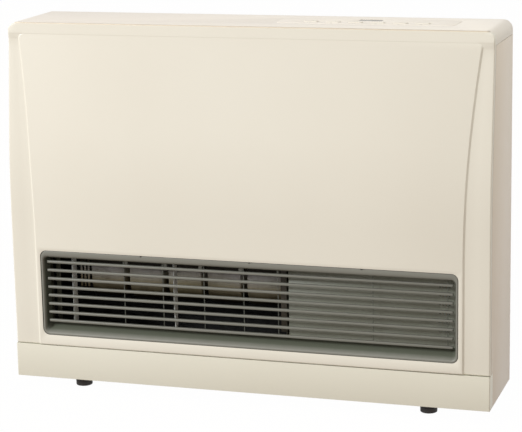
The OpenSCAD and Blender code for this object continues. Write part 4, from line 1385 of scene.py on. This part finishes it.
@dataclass
class Casing:
    """The sheet metal round the works, on four feet, with painted shade and light in its joints: a dark strip
    and a pale filler.

    The cover's corners go from the shell_r of the solid under it to cover_r. The dark strip lies
    shadow_strip_in inside the front panel's outline and shadow_strip_gap behind its turned edge, and is
    thinner above shadow_strip_thin_z. The filler's front and back count from the back of the panel's turned
    top.
    """

    foot_x: float = 343.5
    foot_ys: tuple[float, float] = (42.0, 165.0)
    foot_r: float = 16.5
    screw_x: float = 457.0
    screw_z0: float = 30.0
    screw_step: float = 151.75
    screw_count: int = 5
    rear_y: float = 202.0
    cover_r: float = 18.0
    shell_r: float = 25.0
    shadow_strip_in: float = 0.15
    shadow_strip_w: float = 6.0
    shadow_strip_gap: float = 0.15
    shadow_strip_start: float = 4.0
    shadow_strip_thick: float = 1.5
    shadow_strip_thin: float = 0.5
    shadow_strip_thin_z: float = 660.0
    light_filler_front: float = 7.2
    light_filler_back: float = 0.5
    light_filler_h: float = 0.3
    light_filler_rise: float = 1.5
    light_filler_gap: float = 0.02
    panel: FrontPanel = field(default_factory=FrontPanel)

    def cover(self, frame: Frame) -> None:
        """The moulded cover, with tighter outer corners than the shell inside it has.

        Args:
            frame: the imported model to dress.
        """
        piece = frame.merged("top_cover", "top_cover_form")
        points = [vertex.co for vertex in piece.data.vertices]
        radius, spread = self.shell_r * MM, (self.shell_r - self.cover_r) * MM
        hub_x, hub_z = (max(abs(co[axis]) for co in points) - radius for axis in (0, 2))
        for co in points:
            across, up = abs(co.x) - hub_x, co.z - hub_z
            reach = math.hypot(across, up)
            if min(across, up) < TOUCH or reach < radius - MM:
                continue
            c, s = across / reach, up / reach
            if min(c, s) * radius / max(c, s) < spread:
                grown = radius / max(c, s)
            else:
                half = spread * (c + s)
                grown = half + math.sqrt(half**2 - 2 * spread**2 + (radius - spread) ** 2)
            co.x = math.copysign(hub_x + c * grown * reach / radius, co.x)
            co.z = hub_z + s * grown * reach / radius
        frame.dress(Bench.soften(piece, 0.6, 3), Look.COVER, "top_cover")

    def shadow_strip_ring(self, side: int, z: float, angle: float) -> list[Point]:
        """The dark strip's section at one place of its route, round the panel's corner at the top.

        Args:
            side: -1 on the left, 1 on the right.
            z: the height of the route, or of the corner's centre.
            angle: how far round the corner the section lies, in radians.

        Returns:
            The section's four points, the first one again at the end.
        """
        panel = self.panel
        ring = []
        for inset, behind in ((0, 0), (0, 1), (1, 1), (1, 0)):
            radius = panel.corner_r - self.shadow_strip_in - inset * self.shadow_strip_w
            height = z + radius * math.sin(angle)
            across = panel.half_width - panel.corner_r + radius * math.cos(angle)
            thick = self.shadow_strip_thick if height < self.shadow_strip_thin_z else self.shadow_strip_thin
            depth = panel.lean(height) + panel.turned + self.shadow_strip_gap + behind * thick
            ring.append((side * across, depth, height))
        return ring + ring[:1]

    def shadow_strips(self, frame: Frame) -> None:
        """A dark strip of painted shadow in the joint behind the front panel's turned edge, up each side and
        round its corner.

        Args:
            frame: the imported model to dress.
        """
        low = self.panel.foot_z + self.shadow_strip_start
        corner_z = self.panel.top_z - self.panel.corner_r
        route = [(low + (corner_z - low) * i / 24, 0.0) for i in range(25)]
        route += [(corner_z, math.radians(a)) for a in range(15, 91, 15)]
        for node, side in (("side_panel_left", -1), ("side_panel_right", 1)):
            rings = [self.shadow_strip_ring(side, z, angle) for z, angle in route]
            caps = [
                [tuple(sum(axis) / 4 for axis in zip(*ring[:4]))] * len(ring)
                for ring in (rings[0], rings[-1])
            ]
            shadow_strip = Bench.weld(Bench.grid(f"{node}_seal", [caps[0], *rings, caps[1]]))
            # painted shadow: a dark strip where the joint's shade falls
            frame.dress(Bench.soften(shadow_strip, 0), Look.SEAL, on=node)

    def light_filler(self, frame: Frame) -> None:
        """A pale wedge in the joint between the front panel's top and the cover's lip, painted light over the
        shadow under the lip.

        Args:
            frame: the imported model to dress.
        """
        panel = self.panel
        turned = panel.lean(panel.top_z) + panel.turned
        front, back = turned - self.light_filler_front, turned - self.light_filler_back
        low = panel.top_z + self.light_filler_gap
        reach = panel.half_width - panel.corner_r
        strip = Bench.box("top_cover_light_filler", (-reach, front, low), (reach, back, low + self.light_filler_h))
        edge = place(0, front, low + self.light_filler_h / 2)
        for vertex in strip.data.vertices:
            if abs(vertex.co.y - edge.y) < TOUCH and vertex.co.z > edge.z:
                vertex.co.z += self.light_filler_rise * MM
        # painted light with a faint painted shade: the pale filler hides the lip's shadow, in the darker side
        # enamel
        frame.dress(Bench.soften(strip, 0.08, 2), Look.SIDE, on="top_cover")

    def foot(self, frame: Frame, node: str, x: float, y: float) -> None:
        """A rubber pad with a rounded rim and a moulded groove, round its steel stud.

        Args:
            frame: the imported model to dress.
            node: the foot's node.
            x: where its axis stands across the cabinet.
            y: where it stands in depth.
        """
        r = self.foot_r
        profile = [
            (0, -FOOT_MM), (r - 2.2, -FOOT_MM), (r - 1.6, -21.9), (r - 1.1, -21.6), (r - 0.75, -21),
            (r - 0.65, -20), (r - 0.5, -12.4), (r - 1.1, -11.9), (r - 1.1, -11.1), (r - 0.5, -10.6),
            (r - 0.4, -4.2), (r, -3), (r, 0.6), (r - 0.4, 1.2), (0, 1.2),
        ]
        pad = Bench.lathe(f"{node}_pad", profile, (x, y, 0), (0, 0, 1))
        frame.dress(Bench.soften(pad, 0), Look.RUBBER, node)
        thread = [(4.0 - (0.35 if i % 2 else 0), 1.2 + 0.5 * i) for i in range(38)]
        profile = [(0, 1.2), *thread, (3.2, 20.4), (0, 20.7)]
        stud = Bench.lathe(f"{node}_stud", profile, (x, y, 0), (0, 0, 1), 20)
        frame.dress(Bench.soften(stud, 0), Look.FIXING, on=node)

    def screws(self, frame: Frame) -> None:
        """Pan head screws with a cross in each head.

        Args:
            frame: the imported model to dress.
        """
        x, y, z = self.screw_x, self.rear_y, self.screw_z0
        profile = [(0, 0), (4.2, 0), (4.2, 0.7), (3.9, 1.5), (3.0, 2.0), (1.6, 2.2), (0, 2.2)]
        first = Bench.lathe("screw_master", profile, (x, y, z), (0, 1, 0), 24)
        arms = [
            Bench.box("cross_tool", (x - a, y + 1.1, z - b), (x + a, y + 3, z + b))
            for a, b in ((2.2, 0.45), (0.45, 2.2))
        ]
        Bench.soften(Bench.cut(first, *arms), 0)
        places = [(dx, 0, i * self.screw_step) for dx in (0, -2 * x) for i in range(self.screw_count)]
        heads = Bench.repeated("casing_screw_heads", first, places)
        frame.dress(heads, Look.FIXING, "casing_screws")

    def build(self, frame: Frame) -> None:
        """Make the casing's pieces.

        Args:
            frame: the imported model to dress.
        """
        frame.soft_copy("kick_plate", Look.KICK, 0.35, 3)
        # The side panels take the darker side enamel, painted shade.
        for side in ("side_panel_left", "side_panel_right"):
            frame.soft_copy(side, Look.SIDE, 0.3)
        self.cover(frame)
        self.shadow_strips(frame)
        self.light_filler(frame)
        frame.soft_copy("back_panel", Look.BACK, 0.2, whole=False)
        frame.soft_copy("base_tray", Look.ZINC, 0.2)
        frame.soft_copy("foot_nuts", Look.FIXING, 0.3)
        for row, y in zip(("front", "rear"), self.foot_ys):
            for side, x in (("left", -self.foot_x), ("right", self.foot_x)):
                self.foot(frame, f"foot_{row}_{side}", x, y)
        self.screws(frame)


@dataclass
class Grille:
    """The outlet's bezel, louvre bars, vanes and blank plate, and the duct behind them.

    bar_z0 is the middle of the lowest bar, bar_y the bars' front and bar_d their depth. wire_xs are the
    wires' centre lines and hook_xs the sides of the bezel's hooks.
    """

    half_w: float = 406.0
    low_z: float = 87.0
    high_z: float = 252.5
    notch_xs: tuple[float, ...] = (-200.9, 14.3, 228.0)
    notch_half: float = 2.0
    notch_h: float = 1.8
    bar_end: float = 396.0
    bar_y: float = 6.0
    bar_d: float = 6.0
    bar_h: float = 5.2
    bar_nose: float = 1.9
    bar_z0: float = 113.3
    bar_pitch: float = 16.6
    bar_count: int = 8
    wire_r: float = 0.8
    wire_y: float = 12.8
    wire_z: tuple[float, float] = (109.0, 243.0)
    wire_xs: tuple[float, ...] = (-240.5, -162, -80, -2, 65, 246, 385)
    hook_xs: tuple[tuple[float, float], ...] = (
        (-243, -233.5), (-164.5, -154), (-91, -83.5), (-12, -3.7), (62.5, 67),
    )
    hook_y: tuple[float, float] = (14.0, 16.5)
    hook_z: tuple[float, float] = (229.0, 243.0)
    flange_z: tuple[float, float] = (101.5, 243.0)
    flange_sheet: float = 1.2
    rib_low: Point = (-357.0, 76.0, 166.0)
    rib_high: Point = (-353.0, 79.0, 244.0)
    rib_pitch: float = 7.4
    rib_count: int = 3

    def ring(self, y: float, side: float, low: float, high: float, radius: float) -> list[Point]:
        """A ring of points at one depth, with round corners.

        Args:
            y: its depth.
            side: how far it lies inside the bezel's outline at the left and right.
            low: how far it lies inside it below.
            high: how far it lies inside it above.
            radius: its corner radius.

        Returns:
            The points, the first one again at the end.
        """
        x = self.half_w - side - radius
        z0, z1 = self.low_z + low + radius, self.high_z - high - radius
        points = [
            (cx + radius * math.cos(a), y, cz + radius * math.sin(a))
            for cx, cz, start in ((x, z1, 0), (-x, z1, 90), (-x, z0, 180), (x, z0, 270))
            for a in (math.radians(start + 11.25 * i) for i in range(9))
        ]
        return points + points[:1]

    def bezel(self, frame: Frame) -> None:
        """A frame with a rounded rim, widest above, and inner faces that slope in to the rear.

        Args:
            frame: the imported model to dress.
        """
        sections = (  # depth, distance in at the sides, below and above, corner radius
            (24.3, 0, -0.5, 0, 12), (1.6, 0, -0.5, 0, 12), (0.8, 0.25, -0.35, 0.25, 11.8),
            (0.45, 0.7, 0, 0.8, 11.4), (0.3, 1.4, 0.7, 1.6, 10.8), (0.3, 2.8, 2.4, 5.4, 9.4),
            (0.6, 3.4, 3.2, 7.4, 8.8), (1.25, 3.9, 4, 9.2, 8.3), (2.4, 4.3, 4.9, 10.9, 8),
            (3.9, 4.7, 6.1, 12.1, 7.6), (6, 5.1, 7.9, 13.1, 7.2), (24.3, 9, 22, 13.8, 4),
            (24.3, 0, -0.5, 0, 12),
        )
        piece = Bench.weld(Bench.grid("grille_bezel_frame", [self.ring(*section) for section in sections]))
        half, low, high = self.notch_half, self.high_z - self.notch_h, self.high_z + 1
        notches = [Bench.box("notch_tool", (x - half, -1, low), (x + half, 6, high)) for x in self.notch_xs]
        frame.dress(Bench.soften(Bench.cut(piece, *notches), 0), Look.BEZEL, "grille_bezel")

    def clips(self, frame: Frame) -> None:
        """The bezel's hooks beside the upper ends of the wires.

        Args:
            frame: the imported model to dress.
        """
        (y0, y1), (z0, z1) = self.hook_y, self.hook_z
        boxes = [Bench.box("hook", (x0, y0, z0), (x1, y1, z1)) for x0, x1 in self.hook_xs]
        hooks = Bench.join("bezel_hooks", [Bench.soften(box, 0.8, 3) for box in boxes])
        frame.dress(hooks, Look.LOUVRE, on="grille_bezel")

    def bars(self, frame: Frame) -> None:
        """Bars with round noses, spot welded to upright wires.

        Args:
            frame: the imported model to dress.
        """
        x, y, z, half_h = self.bar_end, self.bar_y, self.bar_z0, self.bar_h / 2
        bar = Bench.box("bar_master", (-x, y, z - half_h), (x, y + self.bar_d, z + half_h))
        nose = place(0, y, 0).y
        Bench.bevel_where(bar, lambda a, b: max(abs(a.y - nose), abs(b.y - nose)) < TOUCH, self.bar_nose, 5)
        Bench.soften(bar, 0.4, 2)
        bars = Bench.repeated("louvre_bars", bar, [(0, 0, i * self.bar_pitch) for i in range(self.bar_count)])
        frame.dress(bars, Look.LOUVRE, "grille_bars")

    def wires(self, frame: Frame) -> None:
        """The upright wires behind the bars.

        Args:
            frame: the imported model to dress.
        """
        x, y, (z0, z1) = self.wire_xs[0], self.wire_y, self.wire_z
        wire = Bench.soften(Bench.rod("wire_master", (x, y, z0), (x, y, z1), self.wire_r, 16), 0.3, 2)
        wires = Bench.repeated("louvre_wires", wire, [(other - x, 0, 0) for other in self.wire_xs])
        frame.dress(wires, Look.WIRE, on="grille_bars")

    def flanges(self, frame: Frame) -> None:
        """The flange at the duct's left end, and the one beside the last cell.

        Args:
            frame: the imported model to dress.
        """
        z0, z1 = self.flange_z
        for name, look, x0, x1, y in (
            ("outlet_flange_left", Look.FLANGE, -402, -393, 62),
            ("outlet_flange_right", Look.SCORCHED, 51, 84, 75),
        ):
            flange = Bench.box(name, (x0, y, z0), (x1, y + self.flange_sheet, z1))
            frame.dress(Bench.soften(flange, 0.3, 2), look, on="outlet_duct")

    def ribs(self, frame: Frame) -> None:
        """Upright ribs beside the first cell.

        Args:
            frame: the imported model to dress.
        """
        rib = Bench.soften(Bench.box("rib_master", self.rib_low, self.rib_high), 1.2, 3)
        ribs = Bench.repeated("cell_ribs", rib, [(i * self.rib_pitch, 0, 0) for i in range(self.rib_count)])
        frame.dress(ribs, Look.RIBS, on="heat_exchanger")

    def build(self, frame: Frame) -> None:
        """Make the grille's pieces.

        Args:
            frame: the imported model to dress.
        """
        self.bezel(frame)
        self.clips(frame)
        self.bars(frame)
        self.wires(frame)
        frame.soft_copy("grille_vanes", Look.VANE, 0.3)
        frame.soft_copy("blank_plate", Look.PLATE, 0.3)
        frame.soft_copy("outlet_duct", Look.DUCT, 0.2)
        self.flanges(frame)
        self.ribs(frame)


@dataclass
class Controls:
    """The fascia in the top cover, with its window and six buttons.

    first_x is the middle of the first button. The prints stand ink high from sunk under the face.
    """

    names: tuple[str, ...] = (
        "power_button", "mode_button", "timer_button", "lock_button", "cooler_button", "warmer_button",
    )
    first_x: float = 107.5
    pitch: float = 42.0
    mark_y: float = 96.0
    lamp_y: float = 124.0
    face_z: float = 687.4
    ink: float = 0.06
    sunk: float = 0.02
    lamp_count: int = 4
    lamp_sunk: float = 0.1

    def ring(
        self, x: float, y: float, radius: float, width: float, start: float, end: float
    ) -> bpy.types.Object:
        """A printed arc.

        Args:
            x: its centre across the cabinet.
            y: its centre in depth.
            radius: its outer radius.
            width: the line's width.
            start: the angle that it starts at, in degrees from +X.
            end: the angle that it ends at.

        Returns:
            The print.
        """
        steps = max(6, int((end - start) / 12))
        angles = [math.radians(start + (end - start) * i / steps) for i in range(steps + 1)]
        rim = [(radius * math.cos(a), radius * math.sin(a)) for a in angles]
        bore = 1 - width / radius
        return self.shape(x, y, *rim, *((a * bore, b * bore) for a, b in reversed(rim)))

    def shape(self, x: float, y: float, *points: tuple[float, float]) -> bpy.types.Object:
        """A printed outline round a centre."""
        outline = [(x + a, y + b) for a, b in points]
        return Bench.plate("print", outline, self.face_z - self.sunk, self.ink)

    @staticmethod
    def drop() -> list[tuple[float, float]]:
        """The outline of a drop, its tip towards the wall.

        Returns:
            The outline's points of (x, y), from the drop's middle.
        """
        points = []
        for i in range(18):
            across, along = math.sin(math.radians(20 * i)), -math.cos(math.radians(20 * i))
            blunt = 1 if along > 0 else 1 - 0.5 * along**2
            points.append((1.9 * across * blunt, along * (3.4 if along > 0 else 1.9)))
        return points

    def marks(self, frame: Frame) -> None:
        """The plain symbols printed in front of the buttons.

        Args:
            frame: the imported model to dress.
        """
        y = self.mark_y
        power, mode, timer, lock, cooler, warmer = (
            self.first_x + i * self.pitch for i in range(len(self.names))
        )
        hands = ((-0.25, -0.25), (1.7, -0.25), (1.7, 0.25), (0.25, 0.25), (0.25, 2.3), (-0.25, 2.3))
        prints = [
            self.ring(power, y, 3.2, 0.6, 120, 420),
            self.shape(power, y, (-0.3, 0.8), (0.3, 0.8), (0.3, 3.6), (-0.3, 3.6)),
            self.shape(mode, y - 0.4, *self.drop()),
            self.ring(timer, y, 3.2, 0.5, 2, 358),
            self.shape(timer, y, *hands),
            self.shape(lock, y, (-2.4, -3), (2.4, -3), (2.4, 0.4), (-2.4, 0.4)),
            self.ring(lock, y + 0.6, 1.9, 0.5, 0, 180),
            self.shape(cooler, y, (0, -2.4), (3, 1.8), (-3, 1.8)),
            self.shape(warmer, y, (-3, -1.8), (3, -1.8), (0, 2.4)),
        ]
        frame.dress(Bench.join("button_prints", prints), Look.MARK, on="control_fascia")

    def lamps(self, frame: Frame) -> None:
        """Small domed lamps behind the first four buttons.

        Args:
            frame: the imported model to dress.
        """
        dome = [(0, 0), (1.3, 0), (1.25, 0.3), (0.95, 0.6), (0.5, 0.76), (0, 0.8)]
        centre = (self.first_x, self.lamp_y, self.face_z - self.lamp_sunk)
        first = Bench.soften(Bench.lathe("lamp_master", dome, centre, (0, 0, 1), 20), 0)
        places = [(i * self.pitch, 0, 0) for i in range(self.lamp_count)]
        frame.dress(Bench.repeated("state_lamps", first, places), Look.LENS, on="control_fascia")

    def build(self, frame: Frame) -> None:
        """Make the controls' pieces.

        Args:
            frame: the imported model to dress.
        """
        frame.soft_copy("control_fascia", Look.FASCIA, 0.3)
        frame.soft_copy("display_window", Look.WINDOW, 0.2)
        for name in self.names:
            frame.soft_copy(name, Look.BUTTON, 0.35, 3)
        frame.finish_node("control_board", Look.BOARD)
        self.marks(frame)
        self.lamps(frame)


@dataclass
class Rear:
    """What shows from behind: the guard, its filters, the flue, the gas inlet and the brackets.

    net_x and grip_x count outwards from guard_x, the guard's middle, and grip_rise from net_y.
    """

    guard_x: float = -187.0
    net_x: tuple[float, float] = (6.5, 232.5)
    net_z: tuple[float, float] = (423.5, 603.5)
    net_y: float = 225.0
    mesh: float = 3.2
    thread_r: float = 0.22
    grip_x: float = 240.5
    grip_rise: tuple[float, float] = (1.8, 2.6)
    grip_z: tuple[float, float] = (497.0, 530.0)
    grip_half: float = 0.6
    grip_pitch: float = 2.6
    grip_count: int = 3
    gas_x: float = 380.0
    gas_y: tuple[float, float] = (158.0, 242.0)
    gas_z: float = 100.0
    hexagon_from_end: float = 28.0
    hexagon_w: float = 10.0
    hexagon_r: float = 14.98

    def net(self, frame: Frame, node: str, side: int) -> None:
        """A filter's net of crossing threads, woven between its ribs.

        Args:
            frame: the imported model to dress.
            node: the filter's node.
            side: -1 for the left filter, 1 for the right one.
        """
        x0, x1 = sorted(self.guard_x + side * x for x in self.net_x)
        z0, z1 = self.net_z
        y, r = self.net_y, self.thread_r
        upright = Bench.rod("thread_master", (x0, y - r, z0), (x0, y - r, z1), r, 4)
        level = Bench.rod("thread_master", (x0, y + r, z0), (x1, y + r, z0), r, 4)
        columns = [(i * self.mesh, 0, 0) for i in range(1, int((x1 - x0) / self.mesh))]
        rows = [(0, 0, i * self.mesh) for i in range(1, int((z1 - z0) / self.mesh))]
        threads = [Bench.repeated("uprights", upright, columns), Bench.repeated("levels", level, rows)]
        frame.dress(Bench.join(f"{node}_net", threads), Look.NET, on=node)

    def grips(self, frame: Frame, node: str, side: int) -> None:
        """Ridges on a filter's finger tab.

        Args:
            frame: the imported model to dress.
            node: the filter's node.
            side: -1 for the left filter, 1 for the right one.
        """
        z0, z1 = self.grip_z
        y0, y1 = (self.net_y + rise for rise in self.grip_rise)
        grips = []
        for i in range(self.grip_count):
            x = self.guard_x + side * (self.grip_x + i * self.grip_pitch)
            grip = Bench.box("grip", (x - self.grip_half, y0, z0), (x + self.grip_half, y1, z1))
            grips.append(Bench.soften(grip, 0.35, 3))
        frame.dress(Bench.join(f"{node}_grips", grips), Look.FILTER, on=node)

    def gas_inlet(self, frame: Frame) -> None:
        """A bored pipe with a pipe thread and a chamfered hexagon behind it.

        Args:
            frame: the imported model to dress.
        """
        x, z, (start, end) = self.gas_x, self.gas_z, self.gas_y
        length = end - start
        thread = [(10.4 - (1.1 if i % 2 else 0), length - 17.5 + 0.9 * i) for i in range(18)]
        profile = [
            (5.5, 0.3), (5.8, 0), (6.7, 0), (7, 0.3), (7, length - 19), (9.3, length - 18.2), *thread,
            (9.0, length - 0.4), (8.6, length), (6, length), (5.5, length - 0.5), (5.5, 0.3),
        ]
        pipe = Bench.lathe("gas_pipe", profile, (x, start, z), (0, 1, 0), 48)
        low = end - self.hexagon_from_end
        nut = Bench.rod("gas_hexagon", (x, low, z), (x, low + self.hexagon_w, z), self.hexagon_r, 6)
        chamfer = [(0, 0), (12.6, 0), (15.1, 1.6), (15.1, 8.4), (12.6, 10), (0, 10)]
        cone = Bench.lathe("chamfer_tool", chamfer, (x, low, z), (0, 1, 0), 48)
        Bench.cut(nut, cone, operation="INTERSECT")
        parts = [Bench.soften(pipe, 0), Bench.soften(nut, 0.2)]
        frame.dress(Bench.join("gas_inlet_union", parts), Look.BRASS, "gas_inlet")

    def build(self, frame: Frame) -> None:
        """Make the rear pieces.

        Args:
            frame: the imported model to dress.
        """
        frame.soft_copy("rear_guard", Look.ZINC, 0.25, whole=False)
        for name, side in (("filter_left", -1), ("filter_right", 1)):
            frame.soft_copy(name, Look.FILTER, 0.3, whole=False)
            self.net(frame, name, side)
            self.grips(frame, name, side)
        self.gas_inlet(frame)
        frame.soft_copy("wall_brackets", Look.FIXING, 0.3)
        frame.soft_copy("flue_collar", Look.ZINC, 0.3)
        frame.soft_copy("exhaust_pipe", Look.FLUE, 0.3)
        frame.soft_copy("cord_grommet", Look.HOSE, 0.4, 3)


@dataclass
class Works:
    """The inner pieces, of which only the cells and the air box show through the bars."""

    finishes: dict[Look, tuple[str, ...]] = field(default_factory=lambda: {
        Look.AIR_BOX: ("air_box_left_wall", "divider_wall", "heat_shield", "crossflow_rotor", "fan_scroll"),
        Look.RUBBER: ("rotor_bearing",),
        Look.MOTOR: ("fan_motor", "exhaust_fan_motor"),
        Look.CELLS: ("combustion_chamber",),
        Look.FLUE: ("burner_box", "exhaust_duct"),
        Look.CERAMIC: ("overheat_switch", "spark_igniter", "flame_rod"),
        Look.ZINC: ("exhaust_fan_housing", "intake_box", "board_plate"),
        Look.ROTOR: ("exhaust_fan_rotor",),
        Look.HOSE: ("intake_hose",),
        Look.CASTING: ("gas_valve",),
        Look.BRASS: ("gas_manifold",),
        Look.BOARD: ("main_board",),
        Look.CORE: ("transformer",),
    })

    def build(self, frame: Frame) -> None:
        """Finish the inner nodes.

        Args:
            frame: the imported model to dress.
        """
        frame.soft_copy("heat_exchanger", Look.CELLS, 0.5)
        for look, nodes in self.finishes.items():
            for node in nodes:
                frame.finish_node(node, look)


# ---- the studio ------------------------------------------------------------------------------


@dataclass(frozen=True)
class Lamp:
    """A square lamp; its place and size are in metres, its power in watts."""

    name: str
    at: Point
    size: float
    power: float
    colour: Rgb

    def hang(self, aim: Point) -> None:
        """Hang the lamp in its place, facing a point.

        Args:
            aim: the point that it faces.
        """
        bpy.ops.object.light_add(type="AREA", location=self.at)
        lamp = bpy.context.object
        lamp.name = self.name
        lamp.data.shape = "SQUARE"
        lamp.data.size = self.size
        lamp.data.energy = self.power
        lamp.data.color = self.colour
        towards = Vector(aim) - Vector(self.at)
        lamp.rotation_euler = towards.to_track_quat("-Z", "Y").to_euler()


@dataclass
class Studio:
    """The camera at the photograph's angle, a floor and plain soft light, in metres and degrees.

    glow is how bright the floor looks to the camera, and glow_share how far that hides its paint.
    """

    focal_px: float = 1909.9
    frame_px: float = 522.0
    sensor_mm: float = 36.0
    eye: Point = (1.0759, -3.3811, 1.1361)
    pitch: float = -12.727
    roll: float = -1.139
    yaw: float = 17.669
    far: float = 200.0
    aim: Point = (0.0, 0.0, 0.36)
    lamps: tuple[Lamp, ...] = (
        Lamp("key_lamp", (-5.9, -5.6, 4.4), 2.6, 690.0, (0.94, 0.98, 1.0)),
        Lamp("side_lamp", (1.9, -0.3, 2.0), 1.0, 13.0, (0.9, 1.0, 0.95)),
    )
    floor_size: float = 60.0
    floor_paint: Rgb = (0.3, 0.24, 0.18)
    glow: float = 1.02
    glow_share: float = 0.97
    sky: float = 0.56
    sky_colour: Rgb = (1.0, 0.88, 0.84)

    def camera(self) -> None:
        """Set the camera from the angles that the photograph gives."""
        bpy.ops.object.camera_add(location=self.eye)
        camera = bpy.context.object
        camera.name = "studio_camera"
        camera.data.lens = self.focal_px / self.frame_px * self.sensor_mm
        camera.data.sensor_width = self.sensor_mm
        camera.data.clip_end = self.far
        rx, ry, rz = (math.radians(a) for a in (self.pitch, self.roll, self.yaw))
        yaw = Matrix(((math.cos(rz), math.sin(rz), 0), (-math.sin(rz), math.cos(rz), 0), (0, 0, 1)))
        pitch = Matrix(((1, 0, 0), (0, math.cos(rx), math.sin(rx)), (0, -math.sin(rx), math.cos(rx))))
        roll = Matrix(((math.cos(ry), 0, math.sin(ry)), (0, 1, 0), (-math.sin(ry), 0, math.cos(ry))))
        look = roll @ pitch @ yaw
        turn = Matrix((look[0], look[2], -look[1])).transposed()
        camera.matrix_world = Matrix.Translation(self.eye) @ turn.to_4x4()
        bpy.context.scene.camera = camera

    def seen(self, tree: Tree) -> Value:
        """1 for what the camera, a reflection or a see-through piece shows, otherwise 0.

        Args:
            tree: the node tree to fill.

        Returns:
            The share, 0 or 1.
        """
        path = tree.add("ShaderNodeLightPath")
        camera, glossy, through = (
            Value(tree, path.outputs[f"Is {ray} Ray"]) for ray in ("Camera", "Glossy", "Transmission")
        )
        return (camera + glossy + through).held()

    def floor(self) -> None:
        """A warm floor, white to the camera, that keeps a faint shadow."""
        bpy.ops.mesh.primitive_plane_add(size=self.floor_size)
        floor = bpy.context.object
        floor.name = "studio_floor"
        tree = Tree(bpy.data.materials.new("studio_floor"))
        paint = tree.add("ShaderNodeBsdfDiffuse", {}, {"Color": self.floor_paint})
        glow = tree.add("ShaderNodeEmission", {}, {"Color": WHITE, "Strength": self.glow})
        share = self.seen(tree) * self.glow_share
        blend = tree.add("ShaderNodeMixShader", {}, {0: share, 1: paint.outputs[0], 2: glow.outputs[0]})
        tree.add("ShaderNodeOutputMaterial", {}, {"Surface": blend.outputs[0]})
        floor.data.materials.append(tree.owner)

    def world(self) -> None:
        """An even sky, white where the camera sees it."""
        world = bpy.data.worlds.new("studio_sky")
        tree = Tree(world)
        light = tree.add("ShaderNodeBackground", {}, {"Color": self.sky_colour, "Strength": self.sky})
        white = tree.add("ShaderNodeBackground", {}, {"Color": WHITE, "Strength": 1.0})
        share = self.seen(tree)
        blend = tree.add("ShaderNodeMixShader", {}, {0: share, 1: light.outputs[0], 2: white.outputs[0]})
        tree.add("ShaderNodeOutputWorld", {}, {"Surface": blend.outputs[0]})
        bpy.context.scene.world = world

    def build(self) -> None:
        """Set up the studio."""
        self.camera()
        for lamp in self.lamps:
            lamp.hang(self.aim)
        self.floor()
        self.world()
        bpy.context.scene.view_settings.view_transform = "Standard"


def main() -> None:
    """Dress the heater and set up the studio."""
    logging.basicConfig(level=logging.INFO, format="%(name)s: %(message)s")
    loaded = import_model()
    frame = Frame(loaded["nodes"], loaded["record"])
    Studio().build()
    for group in (FrontPanel(), Casing(), Grille(), Controls(), Rear(), Works()):
        group.build(frame)
        log.info("%s is finished", type(group).__name__)
    log.info("%d pieces made", len(frame.pieces))


if __name__ == "__main__":
    main()
